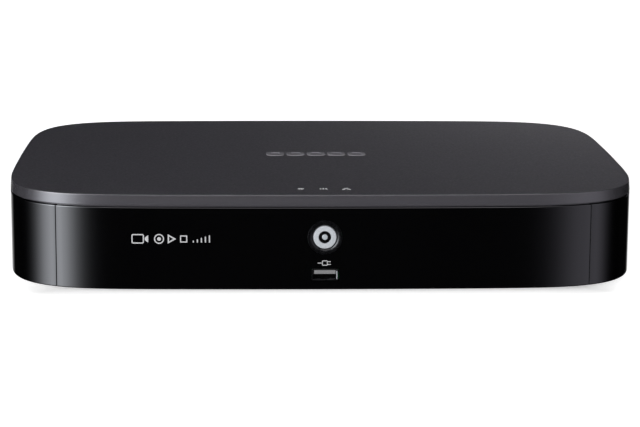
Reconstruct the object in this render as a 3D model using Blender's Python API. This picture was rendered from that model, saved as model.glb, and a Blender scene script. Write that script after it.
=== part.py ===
"""Desktop security video recorder, modelled as the separate pieces it is assembled from.

Lengths are in millimetres and become metres when a mesh is made. +Z is up, the glossy front faces -Y, +X is
to the right of a person facing it, and the origin is the middle of the footprint on the table.
"""

import math

import bmesh
import bpy
from mathutils import Matrix, Vector

MM = 0.001
GAP = 0.3  # clearance that two touching pieces keep

# Overall size
WIDTH = 325.0
DEPTH = 257.0  # front face to the tips of the video sockets
HEIGHT = 53.0
BODY_DEPTH = 243.0  # the casing alone
FRONT_Y = -DEPTH / 2
BODY_Y = FRONT_Y + BODY_DEPTH / 2  # middle of the casing
TIP_Y = DEPTH / 2

# Casing outline in plan: a rectangle with superelliptic corners and slightly bowed sides
CORNER = 87.0
CORNER_POWER = 4.0
CORNER_STEPS = 12
BOW_FRONT = 3.6
BOW_SIDE = 2.5

# Heights of the casing's layers
FOOT_TOP = 5.3
WALL_BOTTOM = 5.0
PAN_BOTTOM = 5.6
PAN_TOP = 6.6
PAN_LIP_TOP = 14.0
WALL_TOP = 46.6
RIM_BOTTOM = 47.4
LID_UNDER = 51.0
LIP_BOTTOM = 45.8

# Casing walls
WALL = 2.5
RIM_TAPER = 0.4
RIM_EDGE = 0.5
LIP = 1.3
SEAM_X = 134.15  # where the front plate meets the two side walls
SEAM = 0.4
PAN_INSET = 3.0
PAN_WALL = 1.0

# Rear panel
PANEL_OUT = 110.5
PANEL_IN = 109.5
PANEL_HALF = 117.9
PANEL_BOTTOM = 6.9
PANEL_TOP = 45.4
SOCKET_FACE = PANEL_IN - GAP  # rear faces of the connectors that stop behind the panel
PORT_FACE = PANEL_OUT + 0.2  # faces of the connectors that reach through it

# Main board
BOARD_X = (-117.0, 71.0)
BOARD_Y = (52.0, 108.9)
BOARD_BOTTOM = 11.6
BOARD_TOP = 13.2
PART_BOTTOM = BOARD_TOP + GAP
STANDOFF_X = (-108.0, -22.0, 64.0)
STANDOFF_Y = (58.0, 100.0)

HEADER_TOP = 21.0
DATA_CABLE_X = -98.0
POWER_CABLE_X = -75.0
FRONT_CABLE_X = 8.0

# Video sockets: two stacked rows of four
BNC_X = (60.0, 43.0, 26.0, 9.0)
BNC_Z = (21.3, 36.3)
BNC_BORE = 5.0

# Centres across the rear panel
AUDIO_X = -6.0
AUDIO_Z = (21.3, 36.3)
VGA_X = -28.5
VGA_Z = 19.8
VGA_POST = 12.5
HDMI_X = -54.0
LAN_X = -71.5
REAR_USB_X = -88.5
ALARM_X = -102.3
POWER_X = -112.2
POWER_Z = 19.0

# Fan behind its grille
FAN_X = 94.0
FAN_Z = 27.0
FAN_SIZE = 40.0
FAN_Y = (97.0, 107.0)
FAN_BORE = 19.0
FAN_HOLE = 16.0  # screw holes from the middle
FAN_BLADES = 7

# Button in the front plate
BUTTON_Z = 31.5
BEZEL_R = 8.6
CAP_R = 5.93
CAP_BORE = 3.15
CORE_R = 2.85
LENS_R = 1.5
BUTTON_FACE = FRONT_Y + 0.6
SWITCH_FACE = -119.4

# Front connector
USB_X = 0.1
USB_Z = 12.55
USB_W = 13.2
USB_H = 6.0
USB_SHEET = 0.4
FRONT_BOARD_Y = (-114.6, -113.0)

# Indicators in the lid, left to right
LED_NAMES = ("power", "disk", "network")
LED_X = (-11.6, -0.3, 11.2)
LED_Y = -111.2
LED_R = 2.2

# Hard drive, 3.5 inch
HDD_LEFT = -135.0
HDD_FRONT = -111.0
HDD_X = (HDD_LEFT, HDD_LEFT + 101.6)
HDD_Y = (HDD_FRONT, HDD_FRONT + 147.0)
HDD_BOTTOM = 10.0
HDD_FLOOR = 14.0
HDD_RIM = 34.4
HDD_TOP = 36.1
HDD_BOARD_FRONT = -61.0
DISC_R = 47.5
SPINDLE = (HDD_LEFT + 50.8, HDD_FRONT + 52.0)
PIVOT = (SPINDLE[0] + 27.2, SPINDLE[1] + 47.0)
ARM_LENGTH = 50.0
PARK_ANGLE = -177.8  # direction of the parked head arm, degrees from +X
DRIVE_SCREW_X = (HDD_X[0] + 3.2, HDD_X[1] - 3.2)
DRIVE_SCREW_Y = (HDD_Y[1] - 41.3 - 44.45, HDD_Y[1] - 41.3)

# Fixings
FOOT_X = 118.0
FOOT_Y = (-92.0, 82.0)
FOOT_R = 8.0
BOSS_X = 149.0
BOSS_Y = 64.0
PIN_Y = -78.0


def clear_scene():
    for obj in list(bpy.data.objects):
        bpy.data.objects.remove(obj, do_unlink=True)


def make_material(name, colour, roughness, metallic=0.0):
    material = bpy.data.materials.new(name)
    material.use_nodes = True
    shader = material.node_tree.nodes["Principled BSDF"]
    shader.inputs["Base Color"].default_value = (*colour, 1.0)
    shader.inputs["Roughness"].default_value = roughness
    shader.inputs["Metallic"].default_value = metallic
    return material


# ---- shapes added to a mesh, in millimetres


def axes_to_point(axis, along, across, up):
    """A point from its distance along an axis and its two coordinates across it."""
    if axis == "X":
        return (along, across, up)
    if axis == "Y":
        return (across, along, up)
    return (across, up, along)


def add_loft(bm, loops, closed=False):
    """Skin successive loops of equal length. The ends are capped, or joined when closed."""
    rings = [[bm.verts.new(point) for point in loop] for loop in loops]
    pairs = list(zip(rings, rings[1:]))
    if closed:
        pairs.append((rings[-1], rings[0]))
    else:
        bm.faces.new(rings[0])
        bm.faces.new(rings[-1])
    count = len(rings[0])
    for first, second in pairs:
        for i in range(count):
            j = (i + 1) % count
            bm.faces.new((first[i], first[j], second[j], second[i]))


def add_box(bm, low, high):
    x0, y0, z0 = low
    x1, y1, z1 = high
    corners = ((x0, y0), (x1, y0), (x1, y1), (x0, y1))
    add_loft(bm, [[(x, y, z) for x, y in corners] for z in (z0, z1)])


def add_centred_box(bm, x, z, width, height, y0, y1):
    """A box given by its middle in the XZ plane and its span along Y."""
    low = (x - width / 2, y0, z - height / 2)
    high = (x + width / 2, y1, z + height / 2)
    add_box(bm, low, high)


def add_prism(bm, outline, axis, start, end):
    loops = []
    for along in (start, end):
        loops.append([axes_to_point(axis, along, u, v) for u, v in outline])
    add_loft(bm, loops)


def circle(x, y, radius, segments, turn=0.0):
    points = []
    for i in range(segments):
        angle = turn + 2 * math.pi * i / segments
        points.append((x + radius * math.cos(angle), y + radius * math.sin(angle)))
    return points


def add_cylinder(bm, axis, centre, radius, start, end, segments=16):
    add_prism(bm, circle(*centre, radius, segments), axis, start, end)


def add_turned(bm, axis, centre, profile, segments=16):
    """Turn a profile of (radius, distance along the axis) pairs. Its first and last radius are above 0."""
    loops = []
    for radius, along in profile:
        ring = circle(*centre, radius, segments)
        loops.append([axes_to_point(axis, along, u, v) for u, v in ring])
    add_loft(bm, loops)


def add_tube(bm, axis, centre, profile, segments=16):
    """Turn a closed profile that stays off the axis, such as the section of a ring."""
    loops = []
    for radius, along in profile:
        ring = circle(*centre, radius, segments)
        loops.append([axes_to_point(axis, along, u, v) for u, v in ring])
    add_loft(bm, loops, closed=True)


def smooth_path(points, steps=5):
    """Catmull-Rom curve through 2D points."""
    knots = [points[0], *points, points[-1]]
    path = []
    for a, b, c, d in zip(knots, knots[1:], knots[2:], knots[3:]):
        for step in range(steps):
            t = step / steps
            path.append(tuple(catmull_rom(*axis, t) for axis in zip(a, b, c, d)))
    path.append(points[-1])
    return path


def catmull_rom(a, b, c, d, t):
    linear = (c - a) * t
    square = (2 * a - 5 * b + 4 * c - d) * t**2
    cube = (3 * b - a - 3 * c + d) * t**3
    return 0.5 * (2 * b + linear + square + cube)


def add_ribbon(bm, x, route, width, thickness):
    """A flat cable at one X, along a smooth route given by (y, z) points."""
    path = [Vector(point) for point in smooth_path(route)]
    loops = []
    for i, point in enumerate(path):
        along = (path[min(i + 1, len(path) - 1)] - path[max(i - 1, 0)]).normalized()
        side = Vector((-along.y, along.x)) * thickness / 2
        low = point - side
        high = point + side
        left = x - width / 2
        right = x + width / 2
        loops.append([(left, *low), (right, *low), (right, *high), (left, *high)])
    add_loft(bm, loops)


# ---- objects


def new_object(name, bm, material, origin=(0.0, 0.0, 0.0)):
    """Make an object from a mesh in millimetres, with its origin at the given point."""
    bmesh.ops.recalc_face_normals(bm, faces=bm.faces)
    bmesh.ops.translate(bm, vec=-Vector(origin), verts=bm.verts)
    bmesh.ops.scale(bm, vec=(MM, MM, MM), verts=bm.verts)
    mesh = bpy.data.meshes.new(name)
    bm.to_mesh(mesh)
    bm.free()
    mesh.shade_smooth()
    mesh.set_sharp_from_angle(angle=math.radians(35))
    obj = bpy.data.objects.new(name, mesh)
    obj.location = Vector(origin) * MM
    bpy.context.scene.collection.objects.link(obj)
    if material:
        mesh.materials.append(material)
    return obj


def boolean(obj, bm, operation):
    """Cut or join with disjoint closed shapes, given in world millimetres."""
    helper = new_object(f"{obj.name}.{operation.lower()}", bm, None)
    helper.hide_render = True
    helper.display_type = "WIRE"
    modifier = obj.modifiers.new(operation.lower(), "BOOLEAN")
    modifier.operation = operation
    modifier.solver = "EXACT"
    modifier.object = helper


def cut(obj, bm):
    boolean(obj, bm, "DIFFERENCE")


def join(obj, bm):
    boolean(obj, bm, "UNION")


# ---- casing


def casing_outline(inset):
    """Points round the casing in plan, anticlockwise from +X, drawn in by inset."""
    half_w = WIDTH / 2 - inset
    half_d = BODY_DEPTH / 2 - inset
    corner = CORNER - inset
    flat_w = half_w - corner
    flat_d = half_d - corner
    power = 2 / CORNER_POWER
    quarter = [(half_w, 0.0)]
    for step in range(CORNER_STEPS + 1):
        angle = math.pi / 2 * step / CORNER_STEPS
        x = flat_w + corner * math.cos(angle) ** power
        y = flat_d + corner * math.sin(angle) ** power
        quarter.append((x, y))
    quarter.append((flat_w / 2, half_d))
    loop = quarter + [(0.0, half_d)]
    loop += [(-x, y) for x, y in reversed(quarter)]
    loop += [(-x, -y) for x, y in quarter[1:]] + [(0.0, -half_d)]
    loop += [(x, -y) for x, y in reversed(quarter[1:])]
    return [bowed(x, y, half_w, half_d) for x, y in loop]


def bowed(x, y, half_w, half_d):
    """Bow the four sides outwards by drawing the corners in."""
    y_bow = BOW_FRONT * (x / half_w) ** 2
    x_bow = BOW_SIDE * (y / half_d) ** 2
    y_side = (y > 0) - (y < 0)
    x_side = (x > 0) - (x < 0)
    return (x - x_side * x_bow, BODY_Y + y - y_side * y_bow)


def casing_loop(inset, z):
    return [(x, y, z) for x, y in casing_outline(inset)]


def wall_ring():
    bm = bmesh.new()
    loops = [casing_loop(0, WALL_BOTTOM), casing_loop(0, WALL_TOP)]
    loops += [casing_loop(WALL, WALL_TOP), casing_loop(WALL, WALL_BOTTOM)]
    add_loft(bm, loops, closed=True)
    return bm


def build_top_cover(material):
    bm = bmesh.new()
    lip_out = WALL + 0.4
    lip_in = lip_out + LIP
    top = RIM_TAPER + RIM_EDGE
    loops = [casing_loop(top, HEIGHT), casing_loop(RIM_TAPER, HEIGHT - RIM_EDGE)]
    loops += [casing_loop(0, RIM_BOTTOM), casing_loop(lip_out, RIM_BOTTOM)]
    loops += [casing_loop(lip_out, LIP_BOTTOM), casing_loop(lip_in, LIP_BOTTOM)]
    loops += [casing_loop(lip_in, LID_UNDER)]
    add_loft(bm, loops)
    cover = new_object("top_cover", bm, material)

    posts = bmesh.new()
    for x in (-BOSS_X, BOSS_X):
        add_cylinder(posts, "Z", (x, BOSS_Y), 3.5, PAN_TOP + 0.4, LID_UNDER + 1, 12)
        add_cylinder(posts, "Z", (x, PIN_Y), 2.2, PAN_BOTTOM, LID_UNDER + 1, 12)
    join(cover, posts)

    holes = bmesh.new()
    for x in (-BOSS_X, BOSS_X):
        add_cylinder(holes, "Z", (x, BOSS_Y), 1.6, 0, 20, 10)
    for x in LED_X:
        add_cylinder(holes, "Z", (x, LED_Y), LED_R + GAP, LID_UNDER - 2, HEIGHT + 2, 16)
    cut(cover, holes)


def build_front_fascia(material):
    fascia = new_object("front_fascia", wall_ring(), material)
    edge = SEAM_X - SEAM / 2
    far_x = WIDTH
    near = -DEPTH
    outline = [(-far_x, near), (-edge, near), (-edge, 0), (edge, 0)]
    outline += [(edge, near), (far_x, near), (far_x, DEPTH), (-far_x, DEPTH)]
    rest = bmesh.new()
    add_prism(rest, outline, "Z", 0, HEIGHT)
    cut(fascia, rest)

    holes = bmesh.new()
    y0 = FRONT_Y - 2
    y1 = FRONT_Y + WALL + 2
    add_cylinder(holes, "Y", (0, BUTTON_Z), BEZEL_R + GAP, y0, y1, 28)
    add_centred_box(holes, USB_X, USB_Z, USB_W + 0.7, USB_H + 0.7, y0, y1)
    cut(fascia, holes)


def build_side_wall(name, side, material):
    """One side wall, from the front seam round to the rear panel, with its cooling slots."""
    wall = new_object(name, wall_ring(), material)
    front = side * (SEAM_X + SEAM / 2)
    rear = side * (PANEL_HALF + GAP)
    far_x = -side * WIDTH
    outline = [(front, -DEPTH), (far_x, -DEPTH), (far_x, DEPTH), (rear, DEPTH), (rear, 0), (front, 0)]
    rest = bmesh.new()
    add_prism(rest, outline, "Z", 0, HEIGHT)
    cut(wall, rest)

    slots = bmesh.new()
    for i in range(9):
        y = 8 + 7 * i
        near = side * (WIDTH / 2 - 12)
        far = side * (WIDTH / 2 + 5)
        add_box(slots, (min(near, far), y, 14), (max(near, far), y + 3, 36))
    cut(wall, slots)


def build_base_pan(material):
    bm = bmesh.new()
    inner = PAN_INSET + PAN_WALL
    loops = [casing_loop(PAN_INSET, PAN_BOTTOM), casing_loop(PAN_INSET, PAN_LIP_TOP)]
    loops += [casing_loop(inner, PAN_LIP_TOP), casing_loop(inner, PAN_TOP)]
    add_loft(bm, loops)
    pan = new_object("base_pan", bm, material)

    trim = bmesh.new()
    add_box(trim, (-WIDTH, PANEL_OUT, 0), (WIDTH, DEPTH, HEIGHT))
    cut(pan, trim)
    lip_gaps = bmesh.new()
    reach = PANEL_HALF + 6
    add_box(lip_gaps, (-reach, 96, PAN_TOP), (reach, DEPTH, HEIGHT))
    add_box(lip_gaps, (-30, -DEPTH, PAN_TOP), (30, -118, HEIGHT))
    cut(pan, lip_gaps)

    posts = bmesh.new()
    for x in STANDOFF_X:
        for y in STANDOFF_Y:
            add_cylinder(posts, "Z", (x, y), 3, PAN_TOP - 0.5, BOARD_BOTTOM - GAP, 10)
    for x in DRIVE_SCREW_X:
        for y in DRIVE_SCREW_Y:
            add_cylinder(posts, "Z", (x, y), 4.2, PAN_TOP - 0.5, HDD_BOTTOM - GAP, 12)
    join(pan, posts)

    holes = bmesh.new()
    for x in DRIVE_SCREW_X:
        for y in DRIVE_SCREW_Y:
            add_cylinder(holes, "Z", (x, y), 1.9, 0, HDD_FLOOR, 10)
    for x in (-FOOT_X, FOOT_X):
        for y in FOOT_Y:
            add_cylinder(holes, "Z", (x, y), 2.8, 0, HDD_FLOOR, 12)
    for x in (-BOSS_X, BOSS_X):
        add_cylinder(holes, "Z", (x, BOSS_Y), 1.7, 0, HDD_FLOOR, 10)
        add_cylinder(holes, "Z", (x, PIN_Y), 2.6, 0, HDD_FLOOR, 12)
    for middle in (-89, 89):
        for i in range(8):
            x = middle + 8 * (i - 3.5)
            add_box(holes, (x - 1.5, -66, 0), (x + 1.5, -14, HDD_FLOOR))
    cut(pan, holes)


def build_rear_panel(material):
    bm = bmesh.new()
    add_box(bm, (-PANEL_HALF, PANEL_IN, PANEL_BOTTOM), (PANEL_HALF, PANEL_OUT, PANEL_TOP))
    panel = new_object("rear_panel", bm, material)

    holes = bmesh.new()
    y0 = PANEL_IN - 2
    y1 = PANEL_OUT + 2
    for x in BNC_X:
        for z in BNC_Z:
            add_cylinder(holes, "Y", (x, z), BNC_BORE + 0.1, y0, y1, 12)
    for z in AUDIO_Z:
        add_cylinder(holes, "Y", (AUDIO_X, z), 4.5, y0, y1, 12)
    for x in (VGA_X - VGA_POST, VGA_X + VGA_POST):
        add_cylinder(holes, "Y", (x, VGA_Z), 3.0, y0, y1, 10)
    add_centred_box(holes, VGA_X, VGA_Z, 18.4, 9.8, y0, y1)
    add_centred_box(holes, HDMI_X, 16.6, 16.0, 6.8, y0, y1)
    add_centred_box(holes, LAN_X, 20.25, 16.8, 14.1, y0, y1)
    add_centred_box(holes, REAR_USB_X, 16.9, 15.0, 7.6, y0, y1)
    add_centred_box(holes, ALARM_X, 18.5, 9.8, 10.8, y0, y1)
    add_centred_box(holes, POWER_X, POWER_Z, 9.6, 11.6, y0, y1)
    for i in range(16):
        x = -106 + 5 * i
        add_box(holes, (x - 1.1, y0, 31), (x + 1.1, y1, 42))
    for i in range(7):
        offset = 5 * (i - 3)
        reach = math.sqrt(17.5**2 - offset**2)
        x = FAN_X + offset
        add_box(holes, (x - 1.6, y0, FAN_Z - reach), (x + 1.6, y1, FAN_Z - 1))
        add_box(holes, (x - 1.6, y0, FAN_Z + 1), (x + 1.6, y1, FAN_Z + reach))
    cut(panel, holes)


def build_feet(material):
    for x, side in ((-FOOT_X, "left"), (FOOT_X, "right")):
        for y, end in zip(FOOT_Y, ("front", "rear")):
            bm = bmesh.new()
            profile = [(FOOT_R - 0.8, 0), (FOOT_R, 0.8), (FOOT_R, FOOT_TOP)]
            profile += [(2.4, FOOT_TOP), (2.4, PAN_TOP + 1)]
            add_turned(bm, "Z", (x, y), profile, 16)
            new_object(f"foot_{end}_{side}", bm, material)


def build_screw(name, x, y, head, shaft, tip, material):
    """A pan head screw driven upwards: its head's and shaft's radius, and how high it reaches."""
    bm = bmesh.new()
    under = FOOT_TOP
    profile = [(head - 0.6, under - 2), (head, under - 1.4), (head, under)]
    profile += [(shaft, under), (shaft, tip - 0.6), (shaft * 0.5, tip)]
    add_turned(bm, "Z", (x, y), profile, 10)
    new_object(name, bm, material)


def build_screws(material):
    for name, x in (("left", -BOSS_X), ("right", BOSS_X)):
        build_screw(f"cover_screw_{name}", x, BOSS_Y, 2.8, 1.3, 17, material)
    number = 0
    for y in DRIVE_SCREW_Y:
        for x in DRIVE_SCREW_X:
            number += 1
            build_screw(f"drive_screw_{number}", x, y, 2.9, 1.55, 12.9, material)


# ---- front: indicators, button and connector


def build_indicators(lens_material, board_material):
    for name, x in zip(LED_NAMES, LED_X):
        bm = bmesh.new()
        add_cylinder(bm, "Z", (x, LED_Y), LED_R, 48.8, HEIGHT - 0.05, 16)
        new_object(f"led_lens_{name}", bm, lens_material)
    bm = bmesh.new()
    add_box(bm, (-19, LED_Y - 6, 46), (19, LED_Y + 6, 47.2))
    board = new_object("led_board", bm, board_material)
    lamps = bmesh.new()
    for x in LED_X:
        add_box(lamps, (x - 1.6, LED_Y - 0.8, 46.8), (x + 1.6, LED_Y + 0.8, 48.3))
    join(board, lamps)


def build_button(bezel_material, cap_material, core_material, lens_material):
    centre = (0, BUTTON_Z)
    axis_origin = (0, BUTTON_FACE, BUTTON_Z)
    back = FRONT_Y + 4
    bm = bmesh.new()
    profile = [(BEZEL_R, FRONT_Y), (BEZEL_R, back), (CAP_R + GAP, back)]
    profile += [(CAP_R + GAP, BUTTON_FACE + 0.5), (BEZEL_R - 0.4, FRONT_Y)]
    add_tube(bm, "Y", centre, profile, 28)
    new_object("button_bezel", bm, bezel_material)

    bm = bmesh.new()
    flange = back + GAP
    profile = [(CAP_BORE, BUTTON_FACE + 1.9), (CAP_BORE, BUTTON_FACE), (CAP_R - 0.2, BUTTON_FACE)]
    profile += [(CAP_R, BUTTON_FACE + 0.2), (CAP_R, flange), (CAP_R + 1.1, flange)]
    profile += [(CAP_R + 1.1, flange + 1), (2, flange + 1), (2, -121.2)]
    add_turned(bm, "Y", centre, profile, 24)
    new_object("button_cap", bm, cap_material, axis_origin)

    bm = bmesh.new()
    front = BUTTON_FACE + 0.5
    seat = BUTTON_FACE + 1.6
    profile = [(LENS_R + GAP, front), (CORE_R, front), (CORE_R, seat), (LENS_R + GAP, seat)]
    add_tube(bm, "Y", centre, profile, 20)
    new_object("button_core", bm, core_material, axis_origin)

    bm = bmesh.new()
    add_turned(bm, "Y", centre, [(LENS_R - 0.3, BUTTON_FACE + 0.2), (LENS_R, front), (LENS_R, seat)], 16)
    new_object("button_lens", bm, lens_material, axis_origin)


def build_switch(body_material, plunger_material):
    bm = bmesh.new()
    board_face = FRONT_BOARD_Y[0] - GAP
    add_centred_box(bm, 0, BUTTON_Z, 6.2, 6.2, SWITCH_FACE, board_face)
    switch = new_object("button_switch", bm, body_material)
    bore = bmesh.new()
    add_cylinder(bore, "Y", (0, BUTTON_Z), 2.0, SWITCH_FACE - 2, board_face - 1, 14)
    cut(switch, bore)
    bm = bmesh.new()
    add_cylinder(bm, "Y", (0, BUTTON_Z), 1.6, SWITCH_FACE - 1.5, SWITCH_FACE + 2.4, 14)
    new_object("switch_plunger", bm, plunger_material, (0, BUTTON_FACE, BUTTON_Z))


def build_usb_socket(name, x, z, width, height, mouth, back, metal, plastic):
    """A USB socket: its sheet-metal shell, open at the mouth, and the contact tongue inside it."""
    direction = 1 if back > mouth else -1
    bm = bmesh.new()
    add_centred_box(bm, x, z, width, height, min(mouth, back), max(mouth, back))
    shell = new_object(f"{name}_usb_shell", bm, metal)
    hollow = bmesh.new()
    inner = (mouth - direction * 2, back - direction * USB_SHEET)
    cavity = (width - 2 * USB_SHEET, height - 2 * USB_SHEET)
    add_centred_box(hollow, x, z, *cavity, min(inner), max(inner))
    cut(shell, hollow)
    bm = bmesh.new()
    ends = (mouth + direction * 1.2, back - direction * (USB_SHEET + GAP))
    add_centred_box(bm, x, z + 1.0, width - 2.4, 1.9, min(ends), max(ends))
    new_object(f"{name}_usb_tongue", bm, plastic)


def build_front_board(material):
    bm = bmesh.new()
    add_box(bm, (-24, FRONT_BOARD_Y[0], 7.6), (24, FRONT_BOARD_Y[1], 43))
    board = new_object("front_board", bm, material)
    header = bmesh.new()
    add_box(header, (0, FRONT_BOARD_Y[1] - 0.5, 11), (16, -108, 17))
    join(board, header)


# ---- main board and rear connectors


def build_main_board(material):
    bm = bmesh.new()
    low = (BOARD_X[0], BOARD_Y[0], BOARD_BOTTOM)
    high = (BOARD_X[1], BOARD_Y[1], BOARD_TOP)
    add_box(bm, low, high)
    board = new_object("main_board", bm, material)
    parts = bmesh.new()
    sunk = BOARD_TOP - 0.6
    for x, y, width, depth, top in (
        (42, 83, 14, 12, 14.8),
        (22, 76, 12, 12, 14.8),
        (-10, 66, 9, 13, 14.6),
        (-10, 84, 9, 13, 14.6),
        (50, 64, 23, 16, 15.2),
        (FRONT_CABLE_X, 57, 18, 6, HEADER_TOP - 1),
        (DATA_CABLE_X, 62, 10, 7, HEADER_TOP),
        (POWER_CABLE_X, 62, 12, 7, HEADER_TOP),
        (-84, 84, 9, 9, 18),
    ):
        add_box(parts, (x - width / 2, y - depth / 2, sunk), (x + width / 2, y + depth / 2, top))
    for x, y in ((-108, 72), (-96, 78), (-110, 86), (-62, 60), (60, 84)):
        add_cylinder(parts, "Z", (x, y), 4, sunk, 25, 10)
    join(board, parts)


def build_processor(chip_material, sink_material):
    x, y = -36, 74
    bm = bmesh.new()
    add_box(bm, (x - 11, y - 11, PART_BOTTOM), (x + 11, y + 11, 15.8))
    new_object("processor", bm, chip_material)
    base = 16.1
    root = base + 2.5
    tip = base + 14
    half = 16.0
    fins = 8
    pitch = (2 * half - 1.4) / (fins - 1)
    comb = [(x - half, base), (x + half, base)]
    for i in reversed(range(fins)):
        left = x - half + pitch * i
        comb += [(left + 1.4, root), (left + 1.4, tip), (left, tip), (left, root)]
    comb.remove((x + half, root))
    comb.pop()
    bm = bmesh.new()
    add_prism(bm, comb, "Y", y - half, y + half)
    new_object("heat_sink", bm, sink_material)


def build_coin_cell(material):
    bm = bmesh.new()
    profile = [(9.4, 15.5), (10, 16), (10, 18.7)]
    add_turned(bm, "Z", (50, 64), profile, 20)
    new_object("coin_cell", bm, material)


def build_video_sockets(housing_material, metal):
    bm = bmesh.new()
    add_box(bm, (BNC_X[-1] - 8, 93, PART_BOTTOM), (BNC_X[0] + 8, SOCKET_FACE, 44.2))
    housing = new_object("bnc_housing", bm, housing_material)
    bores = bmesh.new()
    for x in BNC_X:
        for z in BNC_Z:
            add_cylinder(bores, "Y", (x, z), BNC_BORE, SOCKET_FACE - 5, SOCKET_FACE + 2, 12)
    cut(housing, bores)

    collar = PANEL_OUT + GAP
    profile = [(4.7, SOCKET_FACE - 4.7), (4.7, collar), (6.4, collar), (6.4, collar + 2)]
    profile += [(4.85, collar + 2), (4.85, TIP_Y), (4.1, TIP_Y), (4.1, 119)]
    profile += [(1.1, 119), (1.1, TIP_Y - 2)]
    number = 0
    for z in reversed(BNC_Z):
        for x in BNC_X:
            number += 1
            bm = bmesh.new()
            add_turned(bm, "Y", (x, z), profile, 12)
            new_object(f"bnc_barrel_{number}", bm, metal)


def build_audio_jacks(material):
    bm = bmesh.new()
    add_box(bm, (AUDIO_X - 5.4, 97, PART_BOTTOM), (AUDIO_X + 5.4, SOCKET_FACE, 43))
    jacks = new_object("audio_jacks", bm, material)
    sleeves = bmesh.new()
    holes = bmesh.new()
    for z in AUDIO_Z:
        add_cylinder(sleeves, "Y", (AUDIO_X, z), 4.15, SOCKET_FACE - 2, 119.5, 14)
        add_cylinder(holes, "Y", (AUDIO_X, z), 1.6, 106, 122, 10)
    join(jacks, sleeves)
    cut(jacks, holes)


def d_outline(x, z, width, height):
    """The D shape of a monitor connector, wider at its top."""
    slope = 1.4
    left = x - width / 2
    right = x + width / 2
    low = z - height / 2
    high = z + height / 2
    bottom = [(left + slope, low), (right - slope, low)]
    top = [(right, high - 1), (right - 1, high), (left + 1, high), (left, high - 1)]
    return bottom + top


def build_vga_port(material):
    bm = bmesh.new()
    add_box(bm, (VGA_X - 15.2, 98, PART_BOTTOM), (VGA_X + 15.2, SOCKET_FACE, VGA_Z + 6.2))
    port = new_object("vga_port", bm, material)
    front = bmesh.new()
    add_prism(front, d_outline(VGA_X, VGA_Z, 16.9, 8.4), "Y", SOCKET_FACE - 2, 116.2)
    for x in (VGA_X - VGA_POST, VGA_X + VGA_POST):
        add_cylinder(front, "Y", (x, VGA_Z), 2.7, SOCKET_FACE - 2, 115.6, 6)
    join(port, front)
    recess = bmesh.new()
    add_prism(recess, d_outline(VGA_X, VGA_Z, 15.7, 7.2), "Y", 115.2, 118)
    for x in (VGA_X - VGA_POST, VGA_X + VGA_POST):
        add_cylinder(recess, "Y", (x, VGA_Z), 1.4, 110, 118, 8)
    cut(port, recess)


def build_hdmi_port(material):
    z = 16.6
    bm = bmesh.new()
    add_centred_box(bm, HDMI_X, z, 15.2, 6.0, 99, PORT_FACE)
    port = new_object("hdmi_port", bm, material)
    mouth = bmesh.new()
    half = 7.0
    outline = [(-half, 0.6), (-half + 1.6, -2.3), (half - 1.6, -2.3), (half, 0.6), (half, 2.4), (-half, 2.4)]
    add_prism(mouth, [(HDMI_X + u, z + v) for u, v in outline], "Y", 101.5, PORT_FACE + 2)
    cut(port, mouth)
    tongue = bmesh.new()
    add_centred_box(tongue, HDMI_X, z + 0.6, 10.5, 1.1, 100, PORT_FACE - 1)
    join(port, tongue)


def build_lan_port(material):
    z = 20.25
    bm = bmesh.new()
    add_centred_box(bm, LAN_X, z, 16.0, 13.3, 93.5, PORT_FACE)
    port = new_object("lan_port", bm, material)
    mouth = bmesh.new()
    half = 5.9
    outline = [(-half, -3.2), (-3.2, -3.2), (-3.2, -4.6), (3.2, -4.6), (3.2, -3.2), (half, -3.2)]
    outline += [(half, 4.4), (-half, 4.4)]
    add_prism(mouth, [(LAN_X + u, z + v) for u, v in outline], "Y", 97.5, PORT_FACE + 2)
    cut(port, mouth)


def build_alarm_terminal(material):
    z = 18.5
    bm = bmesh.new()
    add_centred_box(bm, ALARM_X, z, 9.2, 10.0, 99, PORT_FACE + 0.6)
    terminal = new_object("alarm_terminal", bm, material)
    holes = bmesh.new()
    for x in (ALARM_X - 2.2, ALARM_X + 2.2):
        add_centred_box(holes, x, z - 2, 2.6, 3.2, PORT_FACE - 5, PORT_FACE + 3)
        add_cylinder(holes, "Y", (x, z + 2.6), 1.4, PORT_FACE - 3, PORT_FACE + 3, 10)
    cut(terminal, holes)


def build_power_jack(material):
    bm = bmesh.new()
    add_centred_box(bm, POWER_X, POWER_Z, 9.0, 11.0, 97.5, PORT_FACE)
    jack = new_object("power_jack", bm, material)
    bore = bmesh.new()
    profile = [(3.1, PORT_FACE + 2), (3.1, 101.5), (1.0, 101.5), (1.0, PORT_FACE - 1)]
    profile += [(0.4, PORT_FACE - 0.8), (0.4, PORT_FACE + 2)]
    add_tube(bore, "Y", (POWER_X, POWER_Z + 0.5), profile, 14)
    cut(jack, bore)


# ---- hard drive


def build_hdd_base(material):
    bm = bmesh.new()
    add_box(bm, (HDD_X[0], HDD_Y[0], HDD_BOTTOM), (HDD_X[1], HDD_Y[1], HDD_RIM))
    base = new_object("hdd_base", bm, material)
    pocket = bmesh.new()
    add_cylinder(pocket, "Z", SPINDLE, DISC_R + 1.2, HDD_FLOOR, HDD_RIM + 5, 40)
    cut(base, pocket)
    pocket = bmesh.new()
    low = (HDD_X[0] + 5, HDD_Y[0] + 68, HDD_FLOOR)
    high = (HDD_X[1] - 4.6, HDD_Y[1] - 11, HDD_RIM + 5)
    add_box(pocket, low, high)
    cut(base, pocket)
    under = bmesh.new()
    add_box(under, (HDD_X[0] + 8, HDD_BOARD_FRONT - 2, 5), (HDD_X[1] - 8, HDD_Y[1] + 5, HDD_BOTTOM + 1.9))
    for x in DRIVE_SCREW_X:
        for y in DRIVE_SCREW_Y:
            add_cylinder(under, "Z", (x, y), 1.9, 5, 13.2, 10)
    cut(base, under)


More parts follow.
